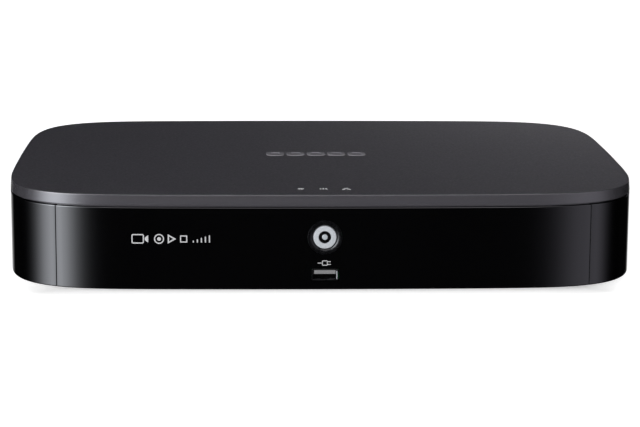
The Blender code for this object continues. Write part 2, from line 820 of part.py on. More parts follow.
def build_hdd_cover(material):
    bm = bmesh.new()
    x0, x1 = HDD_X[0] + 0.8, HDD_X[1] - 0.8
    y0, y1 = HDD_Y[0] + 0.8, HDD_Y[1] - 5
    notch = 6
    outline = [(x0 + notch, y0), (x1 - notch, y0), (x1, y0 + notch), (x1, y1 - notch)]
    outline += [(x1 - notch, y1), (x0 + notch, y1), (x0, y1 - notch), (x0, y0 + notch)]
    add_prism(bm, outline, "Z", HDD_RIM + GAP, HDD_TOP)
    new_object("hdd_cover", bm, material)


def build_hdd_board(material):
    bm = bmesh.new()
    x0, x1 = HDD_X[0] + 10, HDD_X[1] - 10
    add_box(bm, (x0, HDD_BOARD_FRONT, HDD_BOTTOM + 0.2), (x1, HDD_Y[1] - 0.5, HDD_BOTTOM + 1.5))
    new_object("hdd_circuit_board", bm, material)


def build_hdd_platters(material):
    hub = 13.0
    z = HDD_FLOOR + GAP
    profile = [(hub - 3, z), (hub - 3, z + 3), (hub, z + 3)]
    for disc in (20.5, 26.0):
        profile += [(hub, disc), (DISC_R, disc), (DISC_R, disc + 1.2), (hub, disc + 1.2)]
    profile += [(hub, 29.5), (hub - 2, 29.8)]
    bm = bmesh.new()
    add_turned(bm, "Z", SPINDLE, profile, 36)
    new_object("hdd_platters", bm, material, (*SPINDLE, z))


def build_hdd_head_arm(material):
    """Hub, two tapered arms above and between the discs, and the coil behind the pivot."""
    turn = Matrix.Rotation(math.radians(PARK_ANGLE), 2)

    def placed(points):
        return [tuple(turn @ Vector(point) + Vector(PIVOT)) for point in points]

    bm = bmesh.new()
    add_cylinder(bm, "Z", PIVOT, 6, HDD_FLOOR + GAP, 32, 16)
    arm = new_object("hdd_head_arm", bm, material, (*PIVOT, HDD_FLOOR + GAP))
    blades = bmesh.new()
    blade = [(0, -5), (20, -4), (36, -1.8), (ARM_LENGTH, -1.2), (ARM_LENGTH, 1.2), (36, 1.8), (20, 4), (0, 5)]
    coil = [(0, -4), (-10, -8), (-15, -7), (-16.5, 0), (-15, 7), (-10, 8), (0, 4)]
    add_prism(blades, placed(blade), "Z", 23.3, 24.3)
    add_prism(blades, placed(blade), "Z", 28.0, 29.0)
    add_prism(blades, placed(coil), "Z", 24.7, 27.6)
    join(arm, blades)


# ---- fan


def build_fan_frame(material):
    bm = bmesh.new()
    add_centred_box(bm, FAN_X, FAN_Z, FAN_SIZE, FAN_SIZE, *FAN_Y)
    frame = new_object("fan_frame", bm, material)
    holes = bmesh.new()
    add_cylinder(holes, "Y", (FAN_X, FAN_Z), FAN_BORE, FAN_Y[0] - 2, FAN_Y[1] + 2, 32)
    for x in (FAN_X - FAN_HOLE, FAN_X + FAN_HOLE):
        for z in (FAN_Z - FAN_HOLE, FAN_Z + FAN_HOLE):
            add_cylinder(holes, "Y", (x, z), 1.7, FAN_Y[0] - 2, FAN_Y[1] + 2, 8)
    cut(frame, holes)
    mount = bmesh.new()
    strut_end = FAN_Y[0] + 1.5
    add_centred_box(mount, FAN_X, FAN_Z, 2 * FAN_BORE + 1, 3, FAN_Y[0] + 0.2, strut_end)
    join(frame, mount)
    mount = bmesh.new()
    add_centred_box(mount, FAN_X, FAN_Z, 3, 2 * FAN_BORE + 1, FAN_Y[0] + 0.3, strut_end - 0.1)
    join(frame, mount)
    mount = bmesh.new()
    add_cylinder(mount, "Y", (FAN_X, FAN_Z), 9, FAN_Y[0] + 0.1, strut_end + 0.1, 20)
    join(frame, mount)


def build_fan_rotor(material):
    bm = bmesh.new()
    start = FAN_Y[0] + 2
    end = FAN_Y[1] - 0.8
    centre = (FAN_X, FAN_Z)
    add_turned(bm, "Y", centre, [(8.5, start), (8.5, end - 0.6), (7.9, end)], 20)
    rotor = new_object("fan_rotor", bm, material, (FAN_X, start, FAN_Z))
    blades = bmesh.new()
    middle = Vector((FAN_X, (start + end) / 2, FAN_Z))
    for i in range(FAN_BLADES):
        blade = bmesh.new()
        add_box(blade, (7.6, -3.6, -0.5), (FAN_BORE - 0.8, 3.6, 0.5))
        pitch = Matrix.Rotation(math.radians(38), 4, "X")
        spin = Matrix.Rotation(2 * math.pi * i / FAN_BLADES, 4, "Y")
        bmesh.ops.transform(blade, matrix=Matrix.Translation(middle) @ spin @ pitch, verts=blade.verts)
        copy_into(blades, blade)
    join(rotor, blades)


def copy_into(target, source):
    """Add one bmesh's shape to another, and free the first."""
    mesh = bpy.data.meshes.new("copy")
    source.to_mesh(mesh)
    source.free()
    target.from_mesh(mesh)
    bpy.data.meshes.remove(mesh)


# ---- cables that stay inside


def build_cable(name, x, width, thickness, route, plugs, material):
    bm = bmesh.new()
    add_ribbon(bm, x, route, width, thickness)
    cable = new_object(name, bm, material)
    ends = bmesh.new()
    for plug_width, y0, y1, z0, z1 in plugs:
        add_box(ends, (x - plug_width / 2, y0, z0), (x + plug_width / 2, y1, z1))
    join(cable, ends)


def build_cables(data_material, power_material, front_material):
    drive_end = HDD_Y[1] + GAP
    header = HEADER_TOP + GAP
    route = [(44, 15.5), (49, 16), (53, 24), (57, 33), (61.5, 31), (62, 26)]
    data_plugs = ((12, drive_end, 45, 12.6, 18.4), (9, 59, 65, header, 27))
    power_plugs = ((20, drive_end, 45, 12.6, 18.4), (11, 59, 65, header, 27))
    build_cable("sata_data_cable", DATA_CABLE_X, 7, 1.6, route, data_plugs, data_material)
    build_cable("drive_power_cable", POWER_CABLE_X, 9, 1.8, route, power_plugs, power_material)
    route = [(-103, 14), (-98, 13), (-85, 9), (-60, 8.2), (0, 8.2), (30, 9)]
    route += [(44, 18), (53, 28), (57, 26), (57, 23)]
    plugs = ((15, -107.7, -102, 11.2, 16.8), (15, 54.5, 59.5, header - 1, 25))
    build_cable("front_panel_cable", FRONT_CABLE_X, 12, 0.9, route, plugs, front_material)


def main():
    clear_scene()
    satin = make_material("satin_charcoal_plastic", (0.035, 0.034, 0.038), 0.42)
    gloss = make_material("gloss_black_plastic", (0.004, 0.004, 0.005), 0.06)
    steel = make_material("black_steel", (0.02, 0.02, 0.022), 0.45, 0.3)
    zinc = make_material("zinc_plated_steel", (0.5, 0.5, 0.5), 0.35, 1.0)
    nickel = make_material("nickel", (0.62, 0.6, 0.56), 0.22, 1.0)
    silver = make_material("silver_plastic", (0.62, 0.63, 0.66), 0.35, 0.2)
    rubber = make_material("rubber", (0.012, 0.012, 0.012), 0.85)
    black = make_material("black_plastic", (0.012, 0.012, 0.013), 0.5)
    white = make_material("white_lens", (0.75, 0.76, 0.78), 0.3)
    green = make_material("circuit_board", (0.01, 0.09, 0.03), 0.45)
    terminal = make_material("green_plastic", (0.02, 0.28, 0.08), 0.45)
    cast = make_material("cast_aluminium", (0.42, 0.42, 0.43), 0.5, 1.0)
    disc = make_material("polished_disc", (0.8, 0.8, 0.82), 0.05, 1.0)
    red = make_material("red_cable", (0.45, 0.02, 0.015), 0.5)
    grey = make_material("grey_ribbon", (0.3, 0.3, 0.31), 0.6)
    yellow = make_material("yellow_cable", (0.5, 0.3, 0.02), 0.5)

    build_top_cover(satin)
    build_front_fascia(gloss)
    build_side_wall("side_wall_left", -1, gloss)
    build_side_wall("side_wall_right", 1, gloss)
    build_base_pan(zinc)
    build_rear_panel(steel)
    build_feet(rubber)
    build_screws(zinc)

    build_indicators(white, green)
    build_button(gloss, silver, black, white)
    build_switch(black, black)
    usb_mouth = FRONT_Y + 0.6
    usb_back = FRONT_BOARD_Y[0] - GAP
    build_usb_socket("front", USB_X, USB_Z, USB_W, USB_H, usb_mouth, usb_back, nickel, black)
    build_front_board(green)

    build_main_board(green)
    build_processor(black, cast)
    build_coin_cell(nickel)
    build_video_sockets(black, nickel)
    build_audio_jacks(black)
    build_vga_port(nickel)
    build_hdmi_port(nickel)
    build_lan_port(nickel)
    build_usb_socket("rear", REAR_USB_X, 16.9, 14.4, 6.8, PORT_FACE, 97, nickel, black)
    build_alarm_terminal(terminal)
    build_power_jack(black)

    build_hdd_base(cast)
    build_hdd_cover(nickel)
    build_hdd_board(green)
    build_hdd_platters(disc)
    build_hdd_head_arm(cast)

    build_fan_frame(black)
    build_fan_rotor(black)
    build_cables(red, yellow, grey)


main()
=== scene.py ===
"""Looks of the desktop video recorder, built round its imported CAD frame.

Shapes are written in millimetres in the frame's axes and become metres when a mesh is made. The
studio is written in metres.
"""

import math

import bmesh
import bpy
from mathutils import Matrix, Vector

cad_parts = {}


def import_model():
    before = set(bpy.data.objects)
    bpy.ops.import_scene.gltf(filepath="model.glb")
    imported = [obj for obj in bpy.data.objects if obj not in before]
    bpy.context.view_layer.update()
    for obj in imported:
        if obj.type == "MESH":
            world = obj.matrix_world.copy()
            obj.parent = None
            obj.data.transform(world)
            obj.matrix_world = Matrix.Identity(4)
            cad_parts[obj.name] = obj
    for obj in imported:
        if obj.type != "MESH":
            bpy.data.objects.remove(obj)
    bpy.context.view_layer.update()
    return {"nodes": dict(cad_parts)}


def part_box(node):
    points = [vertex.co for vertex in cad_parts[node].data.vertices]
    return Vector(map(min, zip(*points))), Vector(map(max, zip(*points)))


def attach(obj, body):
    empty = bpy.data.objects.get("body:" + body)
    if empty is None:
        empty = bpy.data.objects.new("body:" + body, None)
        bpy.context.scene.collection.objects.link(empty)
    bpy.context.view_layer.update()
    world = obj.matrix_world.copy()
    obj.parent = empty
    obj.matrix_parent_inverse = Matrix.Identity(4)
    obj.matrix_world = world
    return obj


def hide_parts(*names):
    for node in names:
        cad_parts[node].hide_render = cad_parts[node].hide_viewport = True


MM = 0.001
NEAR = 0.001  # two coordinates this close are the same, in millimetres
SHARP = 32  # edges sharper than this many degrees stay crisp in the shading
BEVELLED = 40  # and those sharper than this get a piece's small bevel

# The casing's outline in plan, as the CAD draws it
CORNER = 87.0
CORNER_POWER = 4.0
BOW_FRONT = 3.6
BOW_SIDE = 2.5
ARC_STEPS = 44
FLAT_SHARES = (0.84, 0.68, 0.52, 0.36, 0.2)  # points on half of the front, as shares of its width

# Lid
LID_THICKNESS = 2.0
LID_EDGE = 0.6  # radius of its upper edge
RIM_TAPER = 0.4
RIM_GAP = 0.8  # between the rim and the walls
LIP = 1.3
LIP_INSET = 2.9
LIP_DROP = 1.6
UPRIGHT = 0.4  # a face whose normal rises less than this belongs to the rim
POST_TOP = 1.0  # from the lid's top face down to the tops of its posts and pins
PIN_Y = -78.0
PAN_THICKNESS = 1.4

# Walls
WALL = 2.5
WALL_EDGE = 0.45  # radius of the outer edges
END_EASE = 0.14  # rounding of a wall's cut ends
ROW_MARGIN = 0.9  # from a wall's lower and upper edges to its first rows of points
SEAM = 0.28  # gap between the front wall and a side wall
BEZEL_GAP = 0.12  # round the button's bezel
USB_GAP = 0.7  # added to the socket's width and height
SLOTS = 9  # cooling slots in each side wall
SLOT_START = 8.0
SLOT_PITCH = 7.0
SLOT_WIDTH = 3.0
SLOT_Z = (14.0, 36.0)

# Button
CAP_RADIUS = 5.75
CAP_GAP = 0.22
LENS_RADIUS = 1.42

SHEET = 0.4  # thickness of the USB shells

# Printed marks: how far the ink reaches below and above its face, and where each sign stands
FRONT_INK = (-0.03, 0.02)
LID_INK = (-0.02, 0.03)
PANEL_INK = (-0.02, 0.04)
FRONT_MARKS_Z = 30.8
FRONT_MARKS_X = (-93.0, -82.4, -76.4, -70.2, -65.4)  # camera, record, play, stop, level bars
FRONT_LINE = 0.55
PORT_MARK = (-0.2, 18.55)
PORT_LINE = 0.36

# Rear panel
AUDIO_Z = (21.3, 36.3)
PANEL_SCREWS = ((-114.3, 41.0), (-114.3, 10.5), (-14.5, 41.5), (114.3, 41.0), (114.3, 10.5))
PANEL_FRAMES = ((34.5, 28.8, 70.5, 32.4), (-6.0, 28.8, 12.8, 32.4))  # x, z, width, height
PANEL_ARROWS = (-112.2, -102.3, -88.5, -71.5, -54.0, -28.5)

# Camera: lens in millimetres, place in metres, and (yaw, pitch, roll) in radians
LENS = 122.35
SENSOR = 36.0
CAMERA_PLACE = (-0.04054, -1.18659, 0.25318)
CAMERA_TURN = (0.0359, 0.1953, 0.0055)

# Area lights: name, position, target, (width, height), power, and whether reflections show it
LIGHTS = (
    ("overhead", (0, 0.3, 2.2), (0, 0, 0), (2.6, 2.6), 10, True),
    ("front", (-0.6, -2.2, 0.35), (0, 0, 0), (1.8, 0.6), 112, False),
    ("rear", (0.9, 2.2, 0.8), (0, 0.1, 0), (1.2, 0.8), 22, False),
)

# Floor
FLOOR_Y = 2.0
FLOOR_SIZE = 16
FLOOR_GLOW = 0.74  # next to the object; it is 1 farther out
FLOOR_SPREAD = (0.3, 1.6)  # distances between which the glow grows
DARK_FLOOR = (0.155, 0.12, 1.0)  # half extents of the unlit floor under the object
DARK_EDGE = (0.75, 1.0)  # shares of those extents between which the glow starts

# Softboxes that only show in reflections: their strengths, radii in metres, and mesh steps
TOP_GLOW = 5.0
LEFT_GLOW = 6.4
RIGHT_GLOW = 0.9
REAR_GLOW = 1.05
HIGH_GLOW = 0.5
BACK_GLOW = 1.0
GLOW_RADIUS = 1.5
NEAR_RADIUS = 0.45
SIDE_HEIGHTS = (-1.2, 1.6)
REAR_REACH = (114, 234)
AZIMUTH_STEP = 2
LEVELS = 40
PANEL_STEPS = 12
WHITE = (1.0, 1.0, 1.0)


# ---- outlines and solids, in millimetres


def axes_to_point(axis, along, across, up):
    if axis == "X":
        return (along, across, up)
    if axis == "Y":
        return (across, along, up)
    return (across, up, along)


def add_loft(bm, loops, closed=False):
    """Skin successive loops of equal length. The ends are capped, or joined when closed."""
    rings = [[bm.verts.new(point) for point in loop] for loop in loops]
    pairs = list(zip(rings, rings[1:]))
    if closed:
        pairs.append((rings[-1], rings[0]))
    else:
        bm.faces.new(rings[0])
        bm.faces.new(rings[-1])
    count = len(rings[0])
    for first, second in pairs:
        for i in range(count):
            j = (i + 1) % count
            bm.faces.new((first[i], first[j], second[j], second[i]))


def spaced(start, end, steps):
    """Values from start to end in equal steps, both ends included."""
    return [start + (end - start) * i / steps for i in range(steps + 1)]


def oval_arc(x, y, half_width, half_height, start, end, steps):
    """Points on part of an ellipse, angles in degrees."""
    angles = [math.radians(angle) for angle in spaced(start, end, steps)]
    return [(x + half_width * math.cos(a), y + half_height * math.sin(a)) for a in angles]


def arc(x, y, radius, start, end, steps):
    return oval_arc(x, y, radius, radius, start, end, steps)


def circle(x, y, radius, segments=48):
    return arc(x, y, radius, 0, 360, segments)[:-1]


def rectangle(x, y, width, height):
    w = width / 2
    h = height / 2
    return [(x - w, y - h), (x + w, y - h), (x + w, y + h), (x - w, y + h)]


def rounded_rectangle(x, y, width, height, radius, steps=5):
    points = []
    for side_x, side_y, start in ((1, 1, 0), (-1, 1, 90), (-1, -1, 180), (1, -1, 270)):
        corner_x = x + side_x * (width / 2 - radius)
        corner_y = y + side_y * (height / 2 - radius)
        points += arc(corner_x, corner_y, radius, start, start + 90, steps)
    return points


def scaled(outline, x, y, factor):
    return [(x + (u - x) * factor, y + (v - y) * factor) for u, v in outline]


def lofted(axis, sections, closed=False):
    """Skin outlines that each have their own place along an axis."""
    bm = bmesh.new()
    loops = [[axes_to_point(axis, along, u, v) for u, v in outline] for outline, along in sections]
    add_loft(bm, loops, closed)
    return bm


def prism(outline, axis, start, end):
    return lofted(axis, [(outline, start), (outline, end)])


def tube(outer, inner, axis, start, end):
    """A hollow prism between two outlines of equal length."""
    return lofted(axis, [(outer, start), (outer, end), (inner, end), (inner, start)], closed=True)


def turned(axis, centre, profile, segments=48, closed=False):
    """Turn a profile of (radius, distance along the axis) pairs that stays off the axis."""
    sections = [(circle(*centre, radius, segments), along) for radius, along in profile]
    return lofted(axis, sections, closed)


def box(low, high):
    outline = [(low[0], low[1]), (high[0], low[1]), (high[0], high[1]), (low[0], high[1])]
    return prism(outline, "Z", low[2], high[2])


# ---- pieces


def extent(node):
    """A CAD node's lowest and highest corners and its middle, in millimetres."""
    low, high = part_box(node)
    return low / MM, high / MM, (low + high) / (2 * MM)


def mesh_from(bm, name):
    mesh = bpy.data.meshes.new(name)
    bm.to_mesh(mesh)
    bm.free()
    return mesh


def new_object(name, data):
    obj = bpy.data.objects.new(name, data)
    bpy.context.scene.collection.objects.link(obj)
    return obj


def joined(name, parts):
    """One mesh in metres from (mesh, material index) pairs in millimetres. The parts are freed."""
    bm = bmesh.new()
    for part, index in parts:
        bmesh.ops.recalc_face_normals(part, faces=part.faces)
        for face in part.faces:
            face.material_index = index
        mesh = mesh_from(part, "part")
        bm.from_mesh(mesh)
        bpy.data.meshes.remove(mesh)
    bmesh.ops.scale(bm, vec=(MM, MM, MM), verts=bm.verts)
    return mesh_from(bm, name)


def piece(name, parts, body="root", replaces=(), bevel=0.0, sharp=SHARP):
    """One object from (mesh, material) pairs in millimetres, that rides on a body."""
    materials = list(dict.fromkeys(material for _, material in parts))
    mesh = joined(name, [(part, materials.index(material)) for part, material in parts])
    for material in materials:
        mesh.materials.append(material)
    mesh.shade_smooth()
    mesh.set_sharp_from_angle(angle=math.radians(sharp))
    obj = new_object(name, mesh)
    if bevel:
        modifier = obj.modifiers.new("edges", "BEVEL")
        modifier.width = bevel * MM
        modifier.segments = 2
        modifier.limit_method = "ANGLE"
        modifier.angle_limit = math.radians(BEVELLED)
        modifier.harden_normals = True
    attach(obj, body)
    if replaces:
        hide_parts(*replaces)
    return obj


def cut(obj, *shapes):
    """Cut shapes out of a piece's mesh, before its other modifiers."""
    cutter = new_object("holes", joined("holes", [(shape, 0) for shape in shapes]))
    modifier = obj.modifiers.new("holes", "BOOLEAN")
    modifier.operation = "DIFFERENCE"
    modifier.solver = "EXACT"
    modifier.object = cutter
    with bpy.context.temp_override(object=obj, active_object=obj, selected_objects=[obj]):
        while obj.modifiers.find("holes") > 0:
            bpy.ops.object.modifier_move_up(modifier="holes")
        bpy.ops.object.modifier_apply(modifier="holes")
    bpy.data.objects.remove(cutter, do_unlink=True)
    obj.data.set_sharp_from_angle(angle=math.radians(SHARP))


def cut_cross(screw, axis, centre, arm, start, end):
    """Cut a cross recess with arms of (length, width), one at a time because they overlap."""
    for width, height in (arm, arm[::-1]):
        cut(screw, prism(rectangle(*centre, width, height), axis, start, end))


# ---- material nodes


def add_node(tree, kind, *inputs, **settings):
    """A shader node with its settings made, and its first inputs set or linked."""
    node = tree.nodes.new("ShaderNode" + kind)
    for name, value in settings.items():
        setattr(node, name, value)
    for socket, value in zip(node.inputs, inputs):
        if isinstance(value, bpy.types.NodeSocket):
            tree.links.new(value, socket)
        else:
            socket.default_value = value
    return node


def map_range(tree, value, source, target):
    return add_node(tree, "MapRange", value, *source, *target).outputs["Result"]


def maths(tree, operation, first, second):
    return add_node(tree, "Math", first, second, operation=operation).outputs["Value"]


def shader_of(material):
    return material.node_tree.nodes["Principled BSDF"]


def new_material(name, colour, roughness, metallic=0.0):
    material = bpy.data.materials.new(name)
    material.use_nodes = True
    shader = shader_of(material)
    shader.inputs["Base Color"].default_value = (*colour, 1.0)
    shader.inputs["Roughness"].default_value = roughness
    shader.inputs["Metallic"].default_value = metallic
    shader.inputs["IOR"].default_value = 1.5
    return material


def noise_of(material, scale, detail, stretch):
    """Noise in object space, in features per metre."""
    tree = material.node_tree
    place = add_node(tree, "TexCoord").outputs["Object"]
    mapping = add_node(tree, "Mapping", place)
    mapping.inputs["Scale"].default_value = stretch
    noise = add_node(tree, "TexNoise", mapping.outputs["Vector"])
    noise.inputs["Scale"].default_value = scale
    noise.inputs["Detail"].default_value = detail
    return noise.outputs["Fac"]


def vary_roughness(material, scale, low, high, stretch=(1, 1, 1)):
    tree = material.node_tree
    spread = map_range(tree, noise_of(material, scale, 3.0, stretch), (0.3, 0.7), (low, high))
    tree.links.new(spread, shader_of(material).inputs["Roughness"])


def vary_colour(material, scale, darker, lighter, stretch=(1, 1, 1)):
    """Let the colour wander from so much darker to so much lighter than it is."""
    tree = material.node_tree
    socket = shader_of(material).inputs["Base Color"]
    colour = socket.default_value[:3]
    ramp = add_node(tree, "ValToRGB", noise_of(material, scale, 4.0, stretch))
    for element, place, change in zip(ramp.color_ramp.elements, (0.35, 0.65), (-darker, lighter)):
        element.position = place
        element.color = (*[channel + change for channel in colour], 1.0)
    tree.links.new(ramp.outputs["Color"], socket)


def add_bump(material, scale, depth, strength, detail=2.0):
    """Bump from noise. Depth is in millimetres."""
    tree = material.node_tree
    bump = add_node(tree, "Bump")
    bump.inputs["Distance"].default_value = depth * MM
    bump.inputs["Strength"].default_value = strength
    tree.links.new(noise_of(material, scale, detail, (1, 1, 1)), bump.inputs["Height"])
    tree.links.new(bump.outputs["Normal"], shader_of(material).inputs["Normal"])


# ---- materials


def finish(name, colour, roughness, metallic=0.0, tint=(), grain=(), bump=()):
    """A material, uneven as the values for vary_colour, vary_roughness and add_bump say."""
    material = new_material(name, colour, roughness, metallic)
    for vary, values in ((vary_colour, tint), (vary_roughness, grain), (add_bump, bump)):
        if values:
            vary(material, *values)
    return material


def satin_plastic(name, roughness, grain, bump):
    """Fine spark-eroded texture on charcoal plastic."""
    return finish(name, (0.026, 0.025, 0.0285), roughness, 0.0, (1800, 0.002, 0.002), grain, bump)


def satin_cover_material():
    return satin_plastic("satin_cover", 0.33, (900, 0.29, 0.38), (2600, 0.05, 0.35))


def satin_rim_material():
    """The lid's upright edge, which the mould leaves smoother than the top."""
    return satin_plastic("satin_rim", 0.22, (900, 0.2, 0.26), (2600, 0.02, 0.3))


def gloss_black_material():
    """Piano black: mirror gloss with the faint waviness of a moulding."""
    colour = (0.0006, 0.0006, 0.0007)
    return finish("gloss_black", colour, 0.06, grain=(60, 0.045, 0.075), bump=(25, 0.02, 0.10, 1.0))


def powder_coat_material():
    colour = (0.022, 0.022, 0.024)
    return finish("powder_coat", colour, 0.5, grain=(700, 0.42, 0.58), bump=(1500, 0.06, 0.5))


def zinc_material():
    """Bright zinc sheet, rolled along X."""
    tint = (120, 0.04, 0.03, (0.4, 1, 1))
    return finish("zinc", (0.45, 0.45, 0.46), 0.4, 0.75, tint, (900, 0.37, 0.43, (0.2, 1, 1)))


def nickel_material():
    return finish("nickel", (0.70, 0.68, 0.64), 0.22, 1.0, (400, 0.02, 0.02), (800, 0.2, 0.25))


def bezel_material():
    """Moulded black, duller than the fascia round it."""
    material = finish("bezel_black", (0.0012, 0.0012, 0.0014), 0.28, grain=(900, 0.25, 0.32))
    shader_of(material).inputs["Specular IOR Level"].default_value = 0.25
    return material


def socket_shade_material():
    """Steel darkened to paint the shade inside the front socket."""
    return finish("socket_shade_steel", (0.032, 0.032, 0.034), 0.32, 0.9, grain=(700, 0.24, 0.4))


def badge_material():
    """Satin grey lacquer."""
    return finish("badge_grey", (0.16, 0.155, 0.17), 0.4, grain=(1500, 0.3, 0.42))


def drive_cover_material():
    """Pressed stainless sheet with a fine brushed grain along Y."""
    brushed = (1, 0.05, 1)
    tint = (900, 0.03, 0.03, brushed)
    return finish("drive_cover", (0.55, 0.55, 0.56), 0.38, 0.8, tint, (1500, 0.35, 0.41, brushed))


def gold_material():
    return finish("gold_contact", (0.83, 0.6, 0.25), 0.25, 1.0, grain=(900, 0.2, 0.35))


def black_plastic_material():
    colour = (0.012, 0.012, 0.013)
    return finish("black_plastic", colour, 0.45, grain=(700, 0.38, 0.55), bump=(2200, 0.03, 0.4))


def rubber_material():
    colour = (0.014, 0.014, 0.014)
    return finish("rubber", colour, 0.8, tint=(500, 0.003, 0.006), bump=(1800, 0.05, 0.6))


def silver_ring_material():
    """Satin silver paint on the button, with a fine grain."""
    tint = (1500, 0.02, 0.02)
    grain = (2000, 0.45, 0.58)
    return finish("silver_ring", (0.215, 0.225, 0.24), 0.5, 0.0, tint, grain, (4000, 0.01, 0.3))


def lens_material():
    return finish("white_lens", (0.2, 0.215, 0.23), 0.3, grain=(1200, 0.2, 0.32))


def print_material():
    """Off-white pad print, slightly uneven in its ink."""
    return finish("white_print", (0.24, 0.24, 0.245), 0.45, tint=(2500, 0.02, 0.02))


def lid_print_material():
    """The paler ink of the small marks on the lid."""
    return finish("grey_print", (0.62, 0.62, 0.64), 0.5, tint=(2500, 0.04, 0.04))


def plastic(name, colour, roughness=0.4):
    """Coloured moulded plastic."""
    grain = (800, roughness - 0.06, roughness + 0.08)
    return finish(name, colour, roughness, grain=grain, bump=(2000, 0.02, 0.3))


def board_material():
    """Solder mask with faint tracks under it."""
    material = new_material("solder_mask", (0.01, 0.08, 0.03), 0.35)
    tree = material.node_tree
    place = add_node(tree, "TexCoord").outputs["Object"]
    greens = ((0.008, 0.085, 0.03, 1), (0.010, 0.07, 0.026, 1))
    track = (0.02, 0.16, 0.06, 1)
    bricks = add_node(tree, "TexBrick", place, *greens, track)
    bricks.inputs["Scale"].default_value = 120
    bricks.inputs["Mortar Size"].default_value = 0.06
    tree.links.new(bricks.outputs["Color"], shader_of(material).inputs["Base Color"])
    return material


def cast_material():
    tint = (600, 0.09, 0.05)
    return finish("cast_aluminium", (0.45, 0.45, 0.46), 0.5, 1.0, tint, bump=(1400, 0.05, 0.5))


def disc_material():
    """Polished disc with a faint unevenness."""
    return finish("disc", (0.8, 0.8, 0.82), 0.06, 1.0, grain=(300, 0.04, 0.1))


# ---- the casing's outline, as stations: (point, outward normal) pairs


def quarter_outline(half_w, half_d):
    """The plan from the middle of the +X side to the +Y side, before the sides bow."""
    flat_w = half_w - CORNER
    flat_d = half_d - CORNER
    quarter = [(half_w, 0.0), (half_w, flat_d * 0.5)]
    for angle in spaced(0, math.pi / 2, ARC_STEPS):
        c = math.cos(angle)
        s = math.sin(angle)
        reach = (c**CORNER_POWER + s**CORNER_POWER) ** (-1 / CORNER_POWER)
        quarter.append((flat_w + CORNER * c * reach, flat_d + CORNER * s * reach))
    return quarter + [(flat_w * share, half_d) for share in FLAT_SHARES]


def sign(value):
    return (value > 0) - (value < 0)


def casing_outline():
    """Stations round the casing in plan, anticlockwise from +X."""
    low, high, middle = extent("top_cover")
    half_w = (high.x - low.x) / 2
    half_d = (high.y - low.y) / 2
    quarter = quarter_outline(half_w, half_d)
    loop = quarter + [(-x, y) for x, y in reversed(quarter)]
    loop += [(-x, -y) for x, y in quarter[1:]] + [(x, -y) for x, y in reversed(quarter[1:])]
    points = []
    for x, y in loop:
        bowed_x = x - sign(x) * BOW_SIDE * (y / half_d) ** 2
        bowed_y = y - sign(y) * BOW_FRONT * (x / half_w) ** 2
        points.append(Vector((middle.x + bowed_x, middle.y + bowed_y)))
    stations = []
    for i, point in enumerate(points):
        along = points[(i + 1) % len(points)] - points[i - 1]
        stations.append((point, Vector((along.y, -along.x)).normalized()))
    return stations


def at_inset(station, inset, z):
    point = station[0] - station[1] * inset
    return (point.x, point.y, z)


def crossing(stations, i, axis, value):
    """The station between i and i + 1 where a coordinate takes a value."""
    (point, normal), (next_point, next_normal) = stations[i : i + 2]
    share = (value - point[axis]) / (next_point[axis] - point[axis])
    return point.lerp(next_point, share), normal.lerp(next_normal, share).normalized()


def crosses(stations, i, place):
    axis, value, test = place
    a = stations[i][0][axis]
    b = stations[i + 1][0][axis]
    return (a - value) * (b - value) <= 0 and a != b and test(stations[i][0])


def in_front(point):
    return point.y < 0


def behind(point):
    return point.y > 0


def stretch_of(stations, start, end):
    """Stations from one place to the next in loop order. A place is (axis, value, test of a point)."""
    looped = stations + stations + [stations[0]]
    run = []
    for i in range(2 * len(stations)):
        if not run and crosses(looped, i, start):
            run = [crossing(looped, i, *start[:2])]
        if run and crosses(looped, i, end):
            return run + [crossing(looped, i, *end[:2])]
        if run:
            run.append(looped[i + 1])
    return run


def insert_slots(run, slots):
    """Put a station at both edges of every (low y, high y) slot, and none between them."""
    values = [value for slot in slots for value in slot]
    result = [run[0]]
    for i in range(len(run) - 1):
        a = run[i][0].y
        b = run[i + 1][0].y
        inner = sorted([value for value in values if min(a, b) < value < max(a, b)], reverse=b < a)
        result += [crossing(run, i, 1, value) for value in inner]
        result.append(run[i + 1])
    return [s for s in result if not any(low + NEAR < s[0].y < high - NEAR for low, high in slots)]


# ---- walls


def wall_section(low_z, high_z, shrink, rows):
    """A wall's section as (inset, z) points: rounded outer edges and square inner ones."""
    top = high_z - shrink
    bottom = low_z + shrink
    turn = shrink + WALL_EDGE
    section = arc(turn, bottom + WALL_EDGE, WALL_EDGE, 270, 180, 4)
    section += [(shrink, z) for z in rows]
    section += arc(turn, top - WALL_EDGE, WALL_EDGE, 180, 90, 4)
    section += [(WALL - shrink, z) for z in (top, *reversed(rows), bottom)]
    return section


def eased_end(end, neighbour, low_z, high_z, rows):
    """Sections that round over the cut end of a wall, from the end inwards."""
    tangent = (neighbour[0] - end[0]).normalized()
    loops = []
    for angle in (0, 30, 60, 90):
        share = math.radians(angle)
        shrink = END_EASE * (1 - math.sin(share))
        moved = (end[0] + tangent * (END_EASE * (1 - math.cos(share))), end[1])
        loops.append([at_inset(moved, i, z) for i, z in wall_section(low_z, high_z, shrink, rows)])
    return loops


